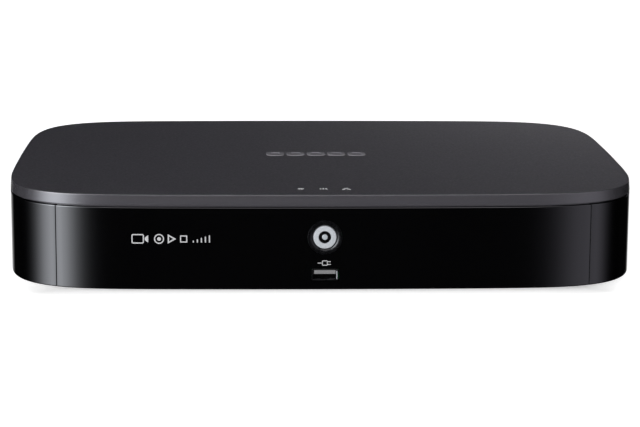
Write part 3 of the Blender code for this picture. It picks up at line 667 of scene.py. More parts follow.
def wall_shape(run, low_z, high_z, slots=()):
    """A wall along a run of stations. Slots are (low y, high y) openings."""
    slot_rows = SLOT_Z if slots else ()
    rows = [low_z + ROW_MARGIN, *slot_rows, high_z - ROW_MARGIN]
    section = wall_section(low_z, high_z, 0.0, rows)
    loops = eased_end(run[0], run[1], low_z, high_z, rows)
    first = len(loops) - 1
    loops += [[at_inset(station, i, z) for i, z in section] for station in run[1:-1]]
    loops += reversed(eased_end(run[-1], run[-2], low_z, high_z, rows))
    bm = bmesh.new()
    add_loft(bm, loops)
    bm.verts.ensure_lookup_table()
    for slot in slots:
        edges = [i for i in range(1, len(run) - 1) if any(abs(run[i][0].y - y) < NEAR for y in slot)]
        open_slot(bm, section, [first + i for i in edges])
    return bm


def open_slot(bm, section, edges):
    """Open one slot between the two loops at its edges."""
    corners = [section.index((depth, z)) for depth in (0.0, WALL) for z in SLOT_Z]
    near, far = [[bm.verts[edge * len(section) + corner] for corner in corners] for edge in edges]
    for low, high in ((0, 1), (2, 3)):
        skin = {near[low], near[high], far[high], far[low]}
        for face in [face for face in near[low].link_faces if set(face.verts) == skin]:
            bm.faces.remove(face)
    for column in (near, far):
        bm.faces.new([column[corner] for corner in (0, 1, 3, 2)])
    for outer, inner in ((0, 2), (1, 3)):
        bm.faces.new((near[outer], far[outer], far[inner], near[inner]))


def build_front_plate(stations, gloss):
    """The front wall, with holes for the button and the socket."""
    low, high, _ = extent("front_fascia")
    run = stretch_of(stations, (0, low.x, in_front), (0, high.x, in_front))
    plate = piece("front_plate", [(wall_shape(run, low.z, high.z), gloss)],
                  replaces=["front_fascia"])
    bezel_low, bezel_high, button = extent("button_bezel")
    usb_low, usb_high, usb = extent("front_usb_shell")
    through = ("Y", low.y - 3, low.y + 5)
    hole = circle(button.x, button.z, (bezel_high.x - bezel_low.x) / 2 + BEZEL_GAP, 96)
    width, _, height = usb_high - usb_low
    mouth = rounded_rectangle(usb.x, usb.z, width + USB_GAP, height + USB_GAP, 0.5)
    cut(plate, prism(hole, *through), prism(mouth, *through))


def build_side_walls(stations, gloss):
    """Both side walls, from the rear panel to the front seams, with their cooling slots."""
    seam = extent("front_fascia")[1].x + SEAM
    starts = [SLOT_START + SLOT_PITCH * i for i in range(SLOTS)]
    slots = [(start, start + SLOT_WIDTH) for start in starts]
    for side, node, name in ((-1, "side_wall_left", "left_wall"), (1, "side_wall_right", "right_wall")):
        low, high, _ = extent(node)
        rear_end = (0, high.x if side < 0 else low.x, behind)
        front_end = (0, side * seam, in_front)
        ends = (rear_end, front_end) if side < 0 else (front_end, rear_end)
        run = insert_slots(stretch_of(stations, *ends), slots)
        piece(name, [(wall_shape(run, low.z, high.z, slots), gloss)], replaces=[node])


# ---- lid


def lid_shape(stations, rim_bottom, top):
    """A dish: flat top, softly rounded edge, tapered rim, and a lip that drops behind the walls."""
    edge_inset = RIM_TAPER + LID_EDGE
    section = [(edge_inset + 1.0, top), (edge_inset + 0.15, top)]
    section += arc(edge_inset, top - LID_EDGE, LID_EDGE, 90, 180, 6)
    section += [(RIM_TAPER - 0.02, top - LID_EDGE - 0.25), (0.02, rim_bottom + 0.5)]
    section += [(0.0, rim_bottom + 0.25), (0.07, rim_bottom + 0.07), (0.25, rim_bottom)]
    section += [(LIP_INSET, rim_bottom), (LIP_INSET, rim_bottom - LIP_DROP)]
    section += [(LIP_INSET + LIP, rim_bottom - LIP_DROP), (LIP_INSET + LIP, top - LID_THICKNESS)]
    bm = bmesh.new()
    add_loft(bm, [[at_inset(station, inset, z) for station in stations] for inset, z in section])
    return bm


def build_lid(stations, satin, rim):
    """The cover's shell, whose upright faces have the rim's finish."""
    top = extent("top_cover")[1].z
    rim_bottom = extent("front_fascia")[1].z + RIM_GAP
    shape = lid_shape(stations, rim_bottom, top)
    lid = piece("lid", [(shape, satin)], replaces=["top_cover"], sharp=40)
    lid.data.materials.append(rim)
    for face in lid.data.polygons:
        if abs(face.normal.z) < UPRIGHT:
            face.material_index = 1


def build_lid_posts(satin):
    """Posts that take the lid's screws from below, and a locating pin in front of each."""
    cover_low, cover_high, _ = extent("top_cover")
    top = cover_high.z - POST_TOP
    foot = extent("base_pan")[0].z + PAN_THICKNESS
    bore = 1.6
    bore_end = 20.0
    parts = []
    for node in ("cover_screw_left", "cover_screw_right"):
        middle = extent(node)[2]
        post = [(3.5, top), (3.5, foot), (bore, foot), (bore, bore_end)]
        post += [(0.2, bore_end + 0.4), (0.2, top)]
        parts.append((turned("Z", (middle.x, middle.y), post, 24, closed=True), satin))
        pin = [(2.2, top), (2.2, cover_low.z + 0.3), (1.9, cover_low.z)]
        parts.append((turned("Z", (middle.x, PIN_Y), pin, 24), satin))
    piece("lid_posts", parts)


# ---- button


def build_bezel(centre, face, bezel_black):
    """The fixed ring round the button, dished down to the button's face."""
    low, high, _ = extent("button_bezel")
    outer = (high.x - low.x) / 2
    bore = CAP_RADIUS + CAP_GAP
    profile = [(outer, high.y), (outer, low.y + 0.2), (outer - 0.08, low.y + 0.06), (outer - 0.25, low.y)]
    rim = outer - 0.6
    depth = face + 0.75 - low.y
    profile += oval_arc(rim, low.y + 0.05 + depth, rim - bore, depth, -90, -180, 9)
    profile.append((bore, high.y))
    piece("bezel_ring", [(turned("Y", centre, profile, 96, closed=True), bezel_black)],
          replaces=["button_bezel"])


def build_button_ring(centre, face, silver):
    """The silver ring, with a flange behind the bezel and a stem to the switch."""
    flange = extent("button_bezel")[1].y + 0.3
    stem_end = extent("button_cap")[1].y
    inner = 3.12
    profile = [(inner, face + 1.9), (inner, face + 0.12), (inner + 0.12, face), (CAP_RADIUS - 0.25, face)]
    profile += [(CAP_RADIUS - 0.07, face + 0.07), (CAP_RADIUS, face + 0.25), (CAP_RADIUS, flange)]
    profile += [(CAP_RADIUS + 1.1, flange), (CAP_RADIUS + 1.1, flange + 1), (2, flange + 1), (2, stem_end)]
    piece("button_ring", [(turned("Y", centre, profile, 80), silver)],
          body="power_button", replaces=["button_cap"])


def build_button_middle(centre, face, dark, lens):
    """The dark ring and the domed light in its middle."""
    core = [(1.5, face + 0.75), (1.65, face + 0.6), (2.86, face + 0.6), (3.0, face + 0.7)]
    core += [(3.0, face + 1.6), (1.5, face + 1.6)]
    piece("button_dark_ring", [(turned("Y", centre, core, 64, closed=True), dark)],
          body="power_button", replaces=["button_core"])
    dome = [(0.05, face + 0.1), *oval_arc(0, face + 0.5, LENS_RADIUS, 0.4, -80, 0, 8)]
    dome.append((LENS_RADIUS, face + 1.6))
    piece("button_light", [(turned("Y", centre, dome, 48), lens)],
          body="power_button", replaces=["button_lens"], sharp=60)


def build_button(bezel_black, silver, lens):
    middle = extent("button_bezel")[2]
    centre = (middle.x, middle.z)
    face = extent("button_cap")[0].y
    build_bezel(centre, face, bezel_black)
    build_button_ring(centre, face, silver)
    build_button_middle(centre, face, bezel_black, lens)


# ---- USB sockets


def build_usb_shell(end, direction, shell_finish_and_shade, spring_finish_and_highlight):
    """A folded sheet-metal shell with two spring fingers below and one at its +X side."""
    low, high, middle = extent(f"{end}_usb_shell")
    mouth, back = (low.y, high.y) if direction > 0 else (high.y, low.y)
    width, _, height = high - low
    place = (middle.x, middle.z)
    outer = rounded_rectangle(*place, width, height, 0.7)
    inner = rounded_rectangle(*place, width - 2 * SHEET, height - 2 * SHEET, 0.35)
    plate = rounded_rectangle(*place, width - 0.9, height - 0.9, 0.3)
    # At the front the shell's finish is darkened steel, which paints the shade in the socket.
    parts = [(tube(outer, inner, "Y", mouth, back), shell_finish_and_shade)]
    parts.append((prism(plate, "Y", back - direction * 0.05, back - direction * SHEET), shell_finish_and_shade))
    near, far = sorted((mouth + direction * 0.8, mouth + direction * 8))
    floor = low.z + SHEET
    for side in (-1, 1):
        x = middle.x + side * 2.6
        parts.append((box((x - 1.0, near, floor), (x + 1.0, far, floor + 0.25)), shell_finish_and_shade))
    # At the front the side finger takes pale silver paint, a painted highlight along the socket's edge.
    wall = high.x - SHEET
    spring = box((wall - 0.35, near, middle.z - 2.5), (wall + 0.01, far, middle.z + 1.5))
    parts.append((spring, spring_finish_and_highlight))
    piece(f"{end}_usb_metal", parts, replaces=[f"{end}_usb_shell"], bevel=0.06)


def contact_row(x, count, pitch, width, low, high, gold):
    """Flat contacts side by side round x, between two (y, z) corners."""
    starts = [x + (i - (count - 1) / 2) * pitch - width / 2 for i in range(count)]
    return [(box((start, *low), (start + width, *high)), gold) for start in starts]


def build_usb_blade(end, tongue_plastic, gold):
    """The tongue, with four contacts under it."""
    low, high, _ = extent(f"{end}_usb_tongue")
    x = extent(f"{end}_usb_shell")[2].x
    parts = [(box(low, high), tongue_plastic)]
    parts += contact_row(x, 4, 2.2, 1.0, (low.y + 0.8, low.z - 0.08), (high.y - 0.8, low.z + 0.1), gold)
    piece(f"{end}_usb_blade", parts, replaces=[f"{end}_usb_tongue"], bevel=0.12)


# ---- printed marks and the strip of links


def on_front_face(shapes, stations):
    """Bend flat shapes drawn at y = 0 onto the bowed front face."""
    front = [(a[0], b[0]) for a, b in zip(stations, stations[1:]) if a[0].y < 0 and b[0].y < 0]
    for shape, _ in shapes:
        for vert in shape.verts:
            for a, b in front:
                if min(a.x, b.x) <= vert.co.x <= max(a.x, b.x) and a.x != b.x:
                    vert.co.y += a.lerp(b, (vert.co.x - a.x) / (b.x - a.x)).y
                    break
    return shapes


def line_frame(place, width, height, line, radius, inner_radius):
    """Outer and inner outlines of a frame drawn with a line."""
    outer = rounded_rectangle(*place, width, height, radius)
    return outer, rounded_rectangle(*place, width - 2 * line, height - 2 * line, inner_radius)


def build_front_marks(stations, ink):
    """Plain outline signs of a recorder: a camera, then record, play and stop, and level bars."""
    z = FRONT_MARKS_Z
    line = FRONT_LINE
    camera, record, play, stop, bars = FRONT_MARKS_X
    near = camera + 3.5
    far = camera + 5.2
    funnel = [(near, z - 0.6), (far, z - 1.9), (far, z + 1.9), (near, z + 0.6)]
    triangle = [(play - 1.7, z - 2.4), (play + 2.5, z), (play - 1.7, z + 2.4)]
    shapes = [
        tube(*line_frame((camera, z), 6.2, 4.8, line, 0.9, 0.45), "Y", *FRONT_INK),
        prism(funnel, "Y", *FRONT_INK),
        tube(circle(record, z, 2.5, 40), circle(record, z, 2.5 - line, 40), "Y", *FRONT_INK),
        prism(circle(record, z, 0.95, 28), "Y", *FRONT_INK),
        tube(triangle, scaled(triangle, play - 0.3, z, 0.52), "Y", *FRONT_INK),
        tube(*line_frame((stop, z), 3.6, 3.6, line, 0.35, 0.15), "Y", *FRONT_INK),
    ]
    for i in range(5):
        height = 1.0 + 0.65 * i
        bar = rounded_rectangle(bars + 2.0 * i, z - 1.8 + height / 2, 0.6, height, 0.15)
        shapes.append(prism(bar, "Y", *FRONT_INK))
    parts = [(shape, ink) for shape in shapes]
    piece("front_print", on_front_face(parts, stations))


def build_port_mark(stations, ink):
    """A small plug sign over the front socket."""
    x, z = PORT_MARK
    body = line_frame((x + 0.2, z), 2.8, 2.6, PORT_LINE, 0.45, 0.2)
    cord = rounded_rectangle(x - 2.3, z, 2.2, PORT_LINE, 0.1)
    shapes = [tube(*body, "Y", *FRONT_INK), prism(cord, "Y", *FRONT_INK)]
    for side in (-1, 1):
        prong = rounded_rectangle(x + 2.4, z + side * 0.7, 1.6, PORT_LINE, 0.1)
        shapes.append(prism(prong, "Y", *FRONT_INK))
    parts = [(shape, ink) for shape in shapes]
    piece("port_print", on_front_face(parts, stations))


def build_lid_marks(ink):
    """Three plain indicator signs on the lid: a ring, three bars and a roof."""
    top = extent("top_cover")[1].z
    layer = ("Z", top + LID_INK[0], top + LID_INK[1])

    middle = extent("led_lens_power")[2]
    place = (middle.x, middle.y)
    ring = tube(circle(*place, 1.65), circle(*place, 0.75), *layer)
    piece("mark_power", [(ring, ink)], replaces=["led_lens_power"])

    middle = extent("led_lens_disk")[2]
    bars = [rounded_rectangle(middle.x + 1.45 * i, middle.y, 0.85, 3.4, 0.4) for i in (-1, 0, 1)]
    parts = [(prism(bar, *layer), ink) for bar in bars]
    piece("mark_disk", parts, replaces=["led_lens_disk"])

    middle = extent("led_lens_network")[2]
    roof = [(-2.3, -2.2), (-1.2, -2.2), (0, -0.3), (1.2, -2.2), (2.3, -2.2), (0.6, 1.6), (-0.6, 1.6)]
    outline = [(middle.x + x, middle.y + y) for x, y in roof]
    piece("mark_network", [(prism(outline, *layer), ink)], replaces=["led_lens_network"])


def build_badge(lacquer):
    """A plain decorative strip in the middle of the lid: a row of raised hollow links."""
    top = extent("top_cover")[1].z
    middle_x = -0.6
    y = -6.2
    pitch = 11.2
    parts = []
    for i in (-2, -1, 0, 1, 2):
        x = middle_x + i * pitch
        outer = rounded_rectangle(x, y, 9.6, 10.5, 2.2, 8)
        inner = rounded_rectangle(x, y, 5.2, 4.8, 0.8, 8)
        parts.append((tube(outer, inner, "Z", top - 0.05, top + 0.22), lacquer))
    piece("lid_badge", parts, bevel=0.08)


# ---- rear connectors


def build_bnc(number, metal, dielectric, gold):
    """A bayonet video socket: threaded body, nut, barrel with two lugs, insulator and pin."""
    node = f"bnc_barrel_{number}"
    low, high, middle = extent(node)
    place = (middle.x, middle.z)
    tip = high.y
    collar = tip - 17.7
    barrel = 4.85
    body = [(4.7, low.y), (4.7, collar), (6.2, collar), (6.4, collar + 0.2), (6.4, collar + 1.7)]
    body += [(6.2, collar + 1.9), (5.3, collar + 1.9), (5.3, collar + 2.9), (barrel, collar + 3.2)]
    body += [(barrel, tip - 0.25), (barrel - 0.2, tip), (4.3, tip), (4.1, tip - 0.2), (4.1, tip - 9.5)]
    body += [(2.4, tip - 9.5)]
    core = [(2.3, tip - 9.6), (2.3, tip - 3.2), (2.15, tip - 3.0), (0.75, tip - 3.0), (0.75, tip - 9.6)]
    pin = [(0.7, tip - 9.6), (0.7, tip - 3.4), (0.35, tip - 3.3), (0.35, tip - 8)]
    parts = [
        (turned("Y", place, body, 40), metal),
        (turned("Y", place, core, 28, closed=True), dielectric),
        (turned("Y", place, pin, 20), gold),
    ]
    for side in (-1, 1):
        lug = [(0.95, barrel - 0.2), (0.95, barrel + 0.75), (0.75, barrel + 0.95)]
        profile = [(radius, middle.x + side * along) for radius, along in lug]
        parts.append((turned("X", (tip - 5.0, middle.z), profile, 16), metal))
    nut = tube(circle(*place, 6.9, 6), circle(*place, 5.35, 6), "Y", collar, collar + 2.2)
    parts.append((nut, metal))
    piece(f"video_socket_{number}", parts, replaces=[node], bevel=0.12)


def build_audio(black, metal, red, white):
    """Two phono sockets, one over the other, on one housing."""
    low, high, middle = extent("audio_jacks")
    face = extent("bnc_housing")[1].y
    tip = high.y
    parts = [(box(low, (high.x, face, high.z)), black)]
    sleeve = [(4.15, face - 1), (4.15, tip - 0.3), (3.9, tip), (3.55, tip)]
    sleeve += [(3.5, tip - 0.2), (3.5, face - 1)]
    plug = [(3.4, face - 0.5), (3.4, tip - 0.9), (3.2, tip - 0.7), (1.7, tip - 0.7), (1.6, tip - 0.9)]
    plug += [(1.6, face + 1), (0.1, face + 1)]
    flange = [(4.4, face + 1.35), (5.2, face + 1.35), (5.2, face + 1.9)]
    flange += [(4.9, face + 2.1), (4.25, face + 2.1)]
    for z, colour in zip(AUDIO_Z, (red, white)):
        place = (middle.x, z)
        parts.append((turned("Y", place, sleeve, 36, closed=True), metal))
        parts.append((turned("Y", place, plug, 32), colour))
        parts.append((turned("Y", place, flange, 36, closed=True), colour))
    piece("audio_sockets", parts, replaces=["audio_jacks"], bevel=0.1)


def d_outline(x, z, width, height, radius):
    """The D of a monitor connector, wider at its top."""
    points = []
    for u, v in rounded_rectangle(x, z, width, height, radius, 4):
        share = (z + height / 2 - v) / height
        points.append((u - math.copysign(share, u - x), v))
    return points


def build_vga(metal, blue, gold):
    """The monitor socket: D shell, blue insert with three rows of five contacts, and two posts."""
    low, high, middle = extent("vga_port")
    face = extent("bnc_housing")[1].y
    x = middle.x
    z = low.z + 6.3
    tip = high.y
    shell = tube(d_outline(x, z, 16.9, 8.4, 1.0), d_outline(x, z, 16.1, 7.6, 0.8), "Y", face - 1, tip)
    insert = prism(d_outline(x, z, 15.6, 7.1, 0.7), "Y", face - 0.5, tip - 2.2)
    parts = [(box(low, (high.x, face, high.z)), metal), (shell, metal), (insert, blue)]
    contact = [(0.5, tip - 2.25), (0.5, tip - 2.14), (0.26, tip - 2.14), (0.26, tip - 2.25)]
    pitch = 2.29
    for row, shift in ((1.98, 0.0), (0.0, 0.57), (-1.98, 0.0)):
        for i in (-2, -1, 0, 1, 2):
            place = (x + i * pitch + shift, z + row)
            parts.append((turned("Y", place, contact, 10, closed=True), gold))
    for side in (-1, 1):
        post_x = x + side * 12.5
        post = tube(circle(post_x, z, 2.7, 6), circle(post_x, z, 1.35, 6), "Y", face - 1, tip - 0.6)
        parts.append((post, metal))
    piece("monitor_socket", parts, replaces=["vga_port"], bevel=0.12)


def hdmi_outline(place, half_width, half_height, notch):
    """A rectangle whose two lower corners are cut off."""
    x, z = place
    left = x - half_width
    right = x + half_width
    top = z + half_height
    bottom = z - half_height
    corners = [(left, top), (left, bottom + notch), (left + notch, bottom)]
    return corners + [(right - notch, bottom), (right, bottom + notch), (right, top)]


def build_hdmi(metal, black, gold):
    low, high, middle = extent("hdmi_port")
    x, _, z = middle
    place = (x, z)
    tip = high.y
    shell = tube(hdmi_outline(place, 7.6, 3.0, 1.9), hdmi_outline(place, 7.15, 2.55, 1.75), "Y", tip, low.y)
    back = prism(hdmi_outline(place, 7.1, 2.5, 1.7), "Y", low.y + 0.1, low.y + 2.0)
    tongue = box((x - 5.6, low.y + 1, z + 0.1), (x + 5.6, tip - 1.0, z + 1.0))
    parts = [(shell, metal), (back, black), (tongue, black)]
    parts += contact_row(x, 10, 1.0, 0.4, (low.y + 2.5, z), (tip - 1.6, z + 0.2), gold)
    piece("hdmi_socket", parts, replaces=["hdmi_port"], bevel=0.08)


def build_lan(metal, black, gold, green, amber):
    """The network socket: stepped mouth, eight wires and two lamps."""
    low, high, middle = extent("lan_port")
    x, _, z = middle
    tip = high.y
    outer = [(-8, -6.65), (-3.4, -6.65), (3.4, -6.65), (8, -6.65), (8, 6.65), (-8, 6.65), (-8, 2), (-8, -2)]
    mouth = [(-5.9, -3.2), (-3.2, -4.6), (3.2, -4.6), (5.9, -3.2)]
    mouth += [(5.9, 4.4), (-5.9, 4.4), (-5.9, 2), (-5.9, -1)]
    outlines = [[(x + u, z + v) for u, v in outline] for outline in (outer, mouth)]
    back = box((x - 6.0, low.y, z - 4.7), (x + 6.0, low.y + 4, z + 4.5))
    parts = [(tube(*outlines, "Y", low.y, tip), metal), (back, black)]
    parts += contact_row(x, 8, 1.02, 0.36, (low.y + 3.5, z + 2.6), (tip - 2.5, z + 2.95), gold)
    for side, lamp in ((-1, green), (1, amber)):
        lamp_x = x + side * 5.6
        parts.append((box((lamp_x - 1.5, tip - 1, z - 6.0), (lamp_x + 1.5, tip + 0.12, z - 4.9)), lamp))
    piece("network_socket", parts, replaces=["lan_port"], bevel=0.08)


def build_terminal(green, metal):
    """A two-way screw terminal: wire mouths below, and screws in their wells above."""
    low, high, middle = extent("alarm_terminal")
    face = high.y
    terminal = piece("alarm_block", [(box(low, high), green)],
                     replaces=["alarm_terminal"], bevel=0.15)
    screw_z = middle.z + 2.6
    holes = []
    heads = []
    for side in (-1, 1):
        x = middle.x + side * 2.2
        mouth = rounded_rectangle(x, middle.z - 2.0, 2.6, 3.2, 0.3)
        holes.append(prism(mouth, "Y", face - 6, face + 2))
        holes.append(prism(circle(x, screw_z, 1.5, 24), "Y", face - 3, face + 2))
        head = [(1.35, face - 3.2), (1.35, face - 1.4), (1.2, face - 1.2)]
        heads.append((turned("Y", (x, screw_z), head, 24), metal))
        slot = box((x - 1.1, face - 1.6, screw_z - 0.15), (x + 1.1, face - 1.15, screw_z + 0.15))
        heads.append((slot, green))
    cut(terminal, *holes)
    piece("alarm_screws", heads)


def build_power_inlet(black, metal):
    """A round low-voltage inlet with its sleeve and centre pin."""
    low, high, middle = extent("power_jack")
    place = (middle.x, middle.z + 0.5)
    tip = high.y
    jack = piece("power_inlet", [(box(low, high), black)],
                 replaces=["power_jack"], bevel=0.2)
    cut(jack, prism(circle(*place, 3.15, 40), "Y", tip - 9, tip + 2))
    pin = [(1.05, tip - 9.2), (1.05, tip - 1.3), (0.7, tip - 0.9)]
    sleeve = [(3.12, tip - 9), (3.12, tip - 1.2), (2.95, tip - 1.2), (2.95, tip - 9)]
    parts = [(turned("Y", place, pin, 24), metal), (turned("Y", place, sleeve, 36, closed=True), metal)]
    piece("power_contacts", parts)


def build_panel_marks(ink):
    """Thin printed frames that group the sockets, and an arrow over each of the others."""
    face = extent("rear_panel")[1].y
    layer = ("Y", face + PANEL_INK[0], face + PANEL_INK[1])
    parts = []
    for x, z, width, height in PANEL_FRAMES:
        parts.append((tube(*line_frame((x, z), width, height, 0.35, 1.5, 1.2), *layer), ink))
    for x in PANEL_ARROWS:
        parts.append((prism([(x - 0.9, 29.2), (x + 0.9, 29.2), (x, 27.9)], *layer), ink))
    piece("panel_print", parts)


def build_panel_screws(metal):
    """Small pan heads with a cross recess that hold the rear panel."""
    face = extent("rear_panel")[1].y
    head = [(2.5, face - 0.05), (2.5, face + 0.5), (2.1, face + 1.1), (1.2, face + 1.4)]
    for number, place in enumerate(PANEL_SCREWS, 1):
        screw = piece(f"panel_screw_{number}", [(turned("Y", place, head, 28), metal)])
        cut_cross(screw, "Y", place, (2.6, 0.5), face + 0.6, face + 2)


# ---- feet and screws


def build_feet(rubber):
    """Round feet with a dished sole, and a neck through the pan."""
    for node in ("foot_front_left", "foot_front_right", "foot_rear_left", "foot_rear_right"):
        low, high, middle = extent(node)
        r = (high.x - low.x) / 2
        profile = [(r - 2.4, 0.5), (r - 2.2, 0.1), (r - 1.8, 0), (r - 0.8, 0), (r - 0.25, 0.2), (r, 0.8)]
        profile += [(r, 4.6), (r - 0.2, 5.1), (r - 0.6, 5.3), (2.4, 5.3), (2.4, high.z)]
        pad = turned("Z", (middle.x, middle.y), profile, 48)
        piece(node.replace("foot", "pad"), [(pad, rubber)], replaces=[node])


def build_screws(metal):
    """Pan heads with a cross recess, pointing up into the casing."""
    shafts = {"cover_screw_left": 1.3, "cover_screw_right": 1.3}
    shafts.update({f"drive_screw_{i}": 1.55 for i in range(1, 5)})
    for node, shaft in shafts.items():
        low, high, middle = extent(node)
        place = (middle.x, middle.y)
        head = (high.x - low.x) / 2
        seat = low.z + 2
        profile = [(head * 0.55, low.z), *arc(head - 1.0, low.z + 1.0, 1.0, -60, 0, 4)]
        profile += [(head, seat), (shaft, seat), (shaft, high.z - 0.6), (shaft * 0.5, high.z)]
        screw = piece(node + "_steel", [(turned("Z", place, profile, 24), metal)],
                      replaces=[node])
        cut_cross(screw, "Z", place, (3.2, 0.7), low.z - 1, low.z + 1.1)


# ---- nodes that keep their CAD shape


def paint(nodes, material, *names):
    for name in names:
        materials = nodes[name].data.materials
        materials.clear()
        materials.append(material)


# ---- the studio, in metres


def camera_matrix(place, yaw, pitch, roll):
    """A camera that looks along +Y when level, and turns right, down and then on its own axis."""
    turn = Matrix.Rotation(-yaw, 4, "Z") @ Matrix.Rotation(math.pi / 2 - pitch, 4, "X")
    return Matrix.Translation(place) @ turn @ Matrix.Rotation(roll, 4, "Z")


def build_camera():
    data = bpy.data.cameras.new("camera")
    data.lens = LENS
    data.sensor_width = SENSOR
    data.clip_end = 50
    camera = new_object("camera", data)
    camera.matrix_world = camera_matrix(CAMERA_PLACE, *CAMERA_TURN)
    bpy.context.scene.camera = camera


def area_light(name, position, target, size, power, reflected):
    data = bpy.data.lights.new(name, "AREA")
    data.shape = "RECTANGLE"
    data.size, data.size_y = size
    data.energy = power
    light = new_object(name, data)
    light.location = position
    direction = Vector(target) - Vector(position)
    light.rotation_euler = direction.to_track_quat("-Z", "Y").to_euler()
    light.visible_glossy = reflected


def staged(name, bm, material):
    """An object of the studio, which is no part of the recorder."""
    mesh = mesh_from(bm, name)
    mesh.materials.append(material)
    obj = new_object(name, mesh)
    return obj


def floor_material():
    """Pale paper that glows towards the camera, except under the object."""
    material = new_material("pale_floor", (0.86, 0.86, 0.86), 0.9)
    shader = shader_of(material)
    shader.inputs["Specular IOR Level"].default_value = 0.0
    shader.inputs["Emission Color"].default_value = (1, 1, 1, 1)
    tree = material.node_tree
    place = add_node(tree, "NewGeometry").outputs["Position"]
    distance = add_node(tree, "VectorMath", place, operation="LENGTH").outputs["Value"]
    spread = map_range(tree, distance, FLOOR_SPREAD, (FLOOR_GLOW, 1.0))
    reach = add_node(tree, "VectorMath", place, DARK_FLOOR, operation="DIVIDE").outputs["Vector"]
    sideways = add_node(tree, "VectorMath", reach, operation="ABSOLUTE").outputs["Vector"]
    split = add_node(tree, "SeparateXYZ", sideways).outputs
    clear = map_range(tree, maths(tree, "MAXIMUM", split["X"], split["Y"]), DARK_EDGE, (0, 1))
    seen = maths(tree, "MULTIPLY", add_node(tree, "LightPath").outputs["Is Camera Ray"], spread)
    tree.links.new(maths(tree, "MULTIPLY", seen, clear), shader.inputs["Emission Strength"])
    material.cycles.emission_sampling = "NONE"
    return material


def build_floor():
    bm = bmesh.new()
    corners = rectangle(0, FLOOR_Y, FLOOR_SIZE, FLOOR_SIZE)
    bm.faces.new([bm.verts.new((x, y, 0)) for x, y in corners])
    floor = staged("floor", bm, floor_material())
    floor.visible_glossy = False
    floor.visible_shadow = False


def glow_material(name, colour):
    """Light whose strength is the mesh's own glow value."""
    material = bpy.data.materials.new(name)
    material.use_nodes = True
    tree = material.node_tree
    tree.nodes.clear()
    glow = add_node(tree, "Attribute", attribute_name="glow").outputs["Fac"]
    emission = add_node(tree, "Emission", (*colour, 1), glow)
    add_node(tree, "OutputMaterial", emission.outputs["Emission"])
    material.cycles.emission_sampling = "NONE"
    return material


def glow_sheet(name, colour, grid):
    """A softbox that only shows in reflections, from rows of (point, strength)."""
    bm = bmesh.new()
    glow = bm.verts.layers.float.new("glow")
    rows = []
    for line in grid:
        row = [bm.verts.new(point) for point, _ in line]
        for vert, (_, strength) in zip(row, line):
            vert[glow] = strength
        rows.append(row)
    for first, second in zip(rows, rows[1:]):
        for i in range(len(first) - 1):
            bm.faces.new((first[i], second[i], second[i + 1], first[i + 1]))
    sheet = staged(name, bm, glow_material(name + "_light", colour))
    sheet.visible_camera = False
    sheet.visible_diffuse = False
    sheet.visible_shadow = False
    sheet.visible_transmission = False


def bell(distance, low_side, high_side):
    """A bump that falls off as (width, power) says on each side."""
    width, power = low_side if distance < 0 else high_side
    return math.exp(-((abs(distance) / width) ** power))


def step_up(value, low, high):
    """A smooth step from 0 at low to 1 at high."""
    share = min(max((value - low) / (high - low), 0), 1)
    return share * share * (3 - 2 * share)


def side_fade(height):
    """The side softboxes are brightest below the object, where the upright walls mirror them."""
    return (0.12 + 0.88 * step_up(height, -0.62, -0.45)) * (1 + 0.4 * step_up(height, 0.0, 0.2))


def glow_band(name, colour, peak, sides, reach, heights, strength_at, radius=GLOW_RADIUS):
    """An upright softbox, bent round the object.

    Azimuths are in degrees from the front of the object and grow towards +X. The light is strongest
    at the peak and falls off as the (width, power) pairs of its two sides say. Reach is the (lowest,
    highest) azimuth. Strength_at gives the peak's strength from the height.
    """
    grid = []
    for azimuth in range(reach[0], reach[1] + 1, AZIMUTH_STEP):
        angle = math.radians(azimuth)
        x = radius * math.sin(angle)
        y = -radius * math.cos(angle)
        share = bell(azimuth - peak, *sides)
        grid.append([((x, y, z), share * strength_at(z)) for z in spaced(*heights, LEVELS)])
    glow_sheet(name, colour, grid)


def glow_panel(name, colour, centre, size, strength):
    """A level softbox overhead, which fades to its edges."""
    x, y, z = centre
    half = size / 2
    grid = []
    for u in spaced(-1, 1, PANEL_STEPS):
        row = []
        for v in spaced(-1, 1, PANEL_STEPS):
            fade = step_up(1 - max(abs(u), abs(v)), 0, 0.5)
            row.append(((x + u * half, y + v * half, z), strength * fade))
        grid.append(row)
    glow_sheet(name, colour, grid)


def left_strength(z):
    """Brighter again where the lid's rim mirrors it."""
    return LEFT_GLOW * side_fade(z) * (1 + step_up(z, -0.08, 0.06))


def build_glows():
    glow_band("left_glow", (0.94, 0.97, 1.04), -54, ((21.0, 2), (18.4, 2.7)), (-124, -8),
              SIDE_HEIGHTS, left_strength)
    glow_band("right_glow", (1.0, 0.97, 1.12), 62, ((31.8, 4), (15.8, 2)), (8, 112),
              SIDE_HEIGHTS, lambda z: RIGHT_GLOW * side_fade(z))
    glow_band("rear_glow", (1.0, 0.97, 1.04), 150, ((28, 2), (29, 2)), REAR_REACH,
              (0.04, 0.15), lambda z: REAR_GLOW * step_up(-z, -0.108, -0.07), NEAR_RADIUS)
    glow_band("back_glow", WHITE, 180, ((25, 4), (25, 4)), (146, 214), (-1.15, -0.02),
              lambda z: BACK_GLOW * step_up(z, -1.1, -0.7) * step_up(-z, 0.04, 0.15))
    glow_band("high_glow", WHITE, 175, ((50, 4), (50, 4)), REAR_REACH, (0.85, 1.6),
              lambda z: HIGH_GLOW * step_up(z, 0.95, 1.25))
    glow_panel("top_glow", (1.0, 0.97, 1.04), (0, -0.75, 1.7), 1.9, TOP_GLOW)


def studio_world():
    """White behind everything, dim as a light, and almost black in reflections."""
    world = bpy.data.worlds.new("studio")
    world.use_nodes = True
    tree = world.node_tree
    path = add_node(tree, "LightPath").outputs
    dim = map_range(tree, path["Is Glossy Ray"], (0, 1), (0.06, 0.003))
    background = tree.nodes["Background"]
    background.inputs["Color"].default_value = (1, 1, 1, 1)
    tree.links.new(maths(tree, "ADD", dim, path["Is Camera Ray"]), background.inputs["Strength"])
    return world


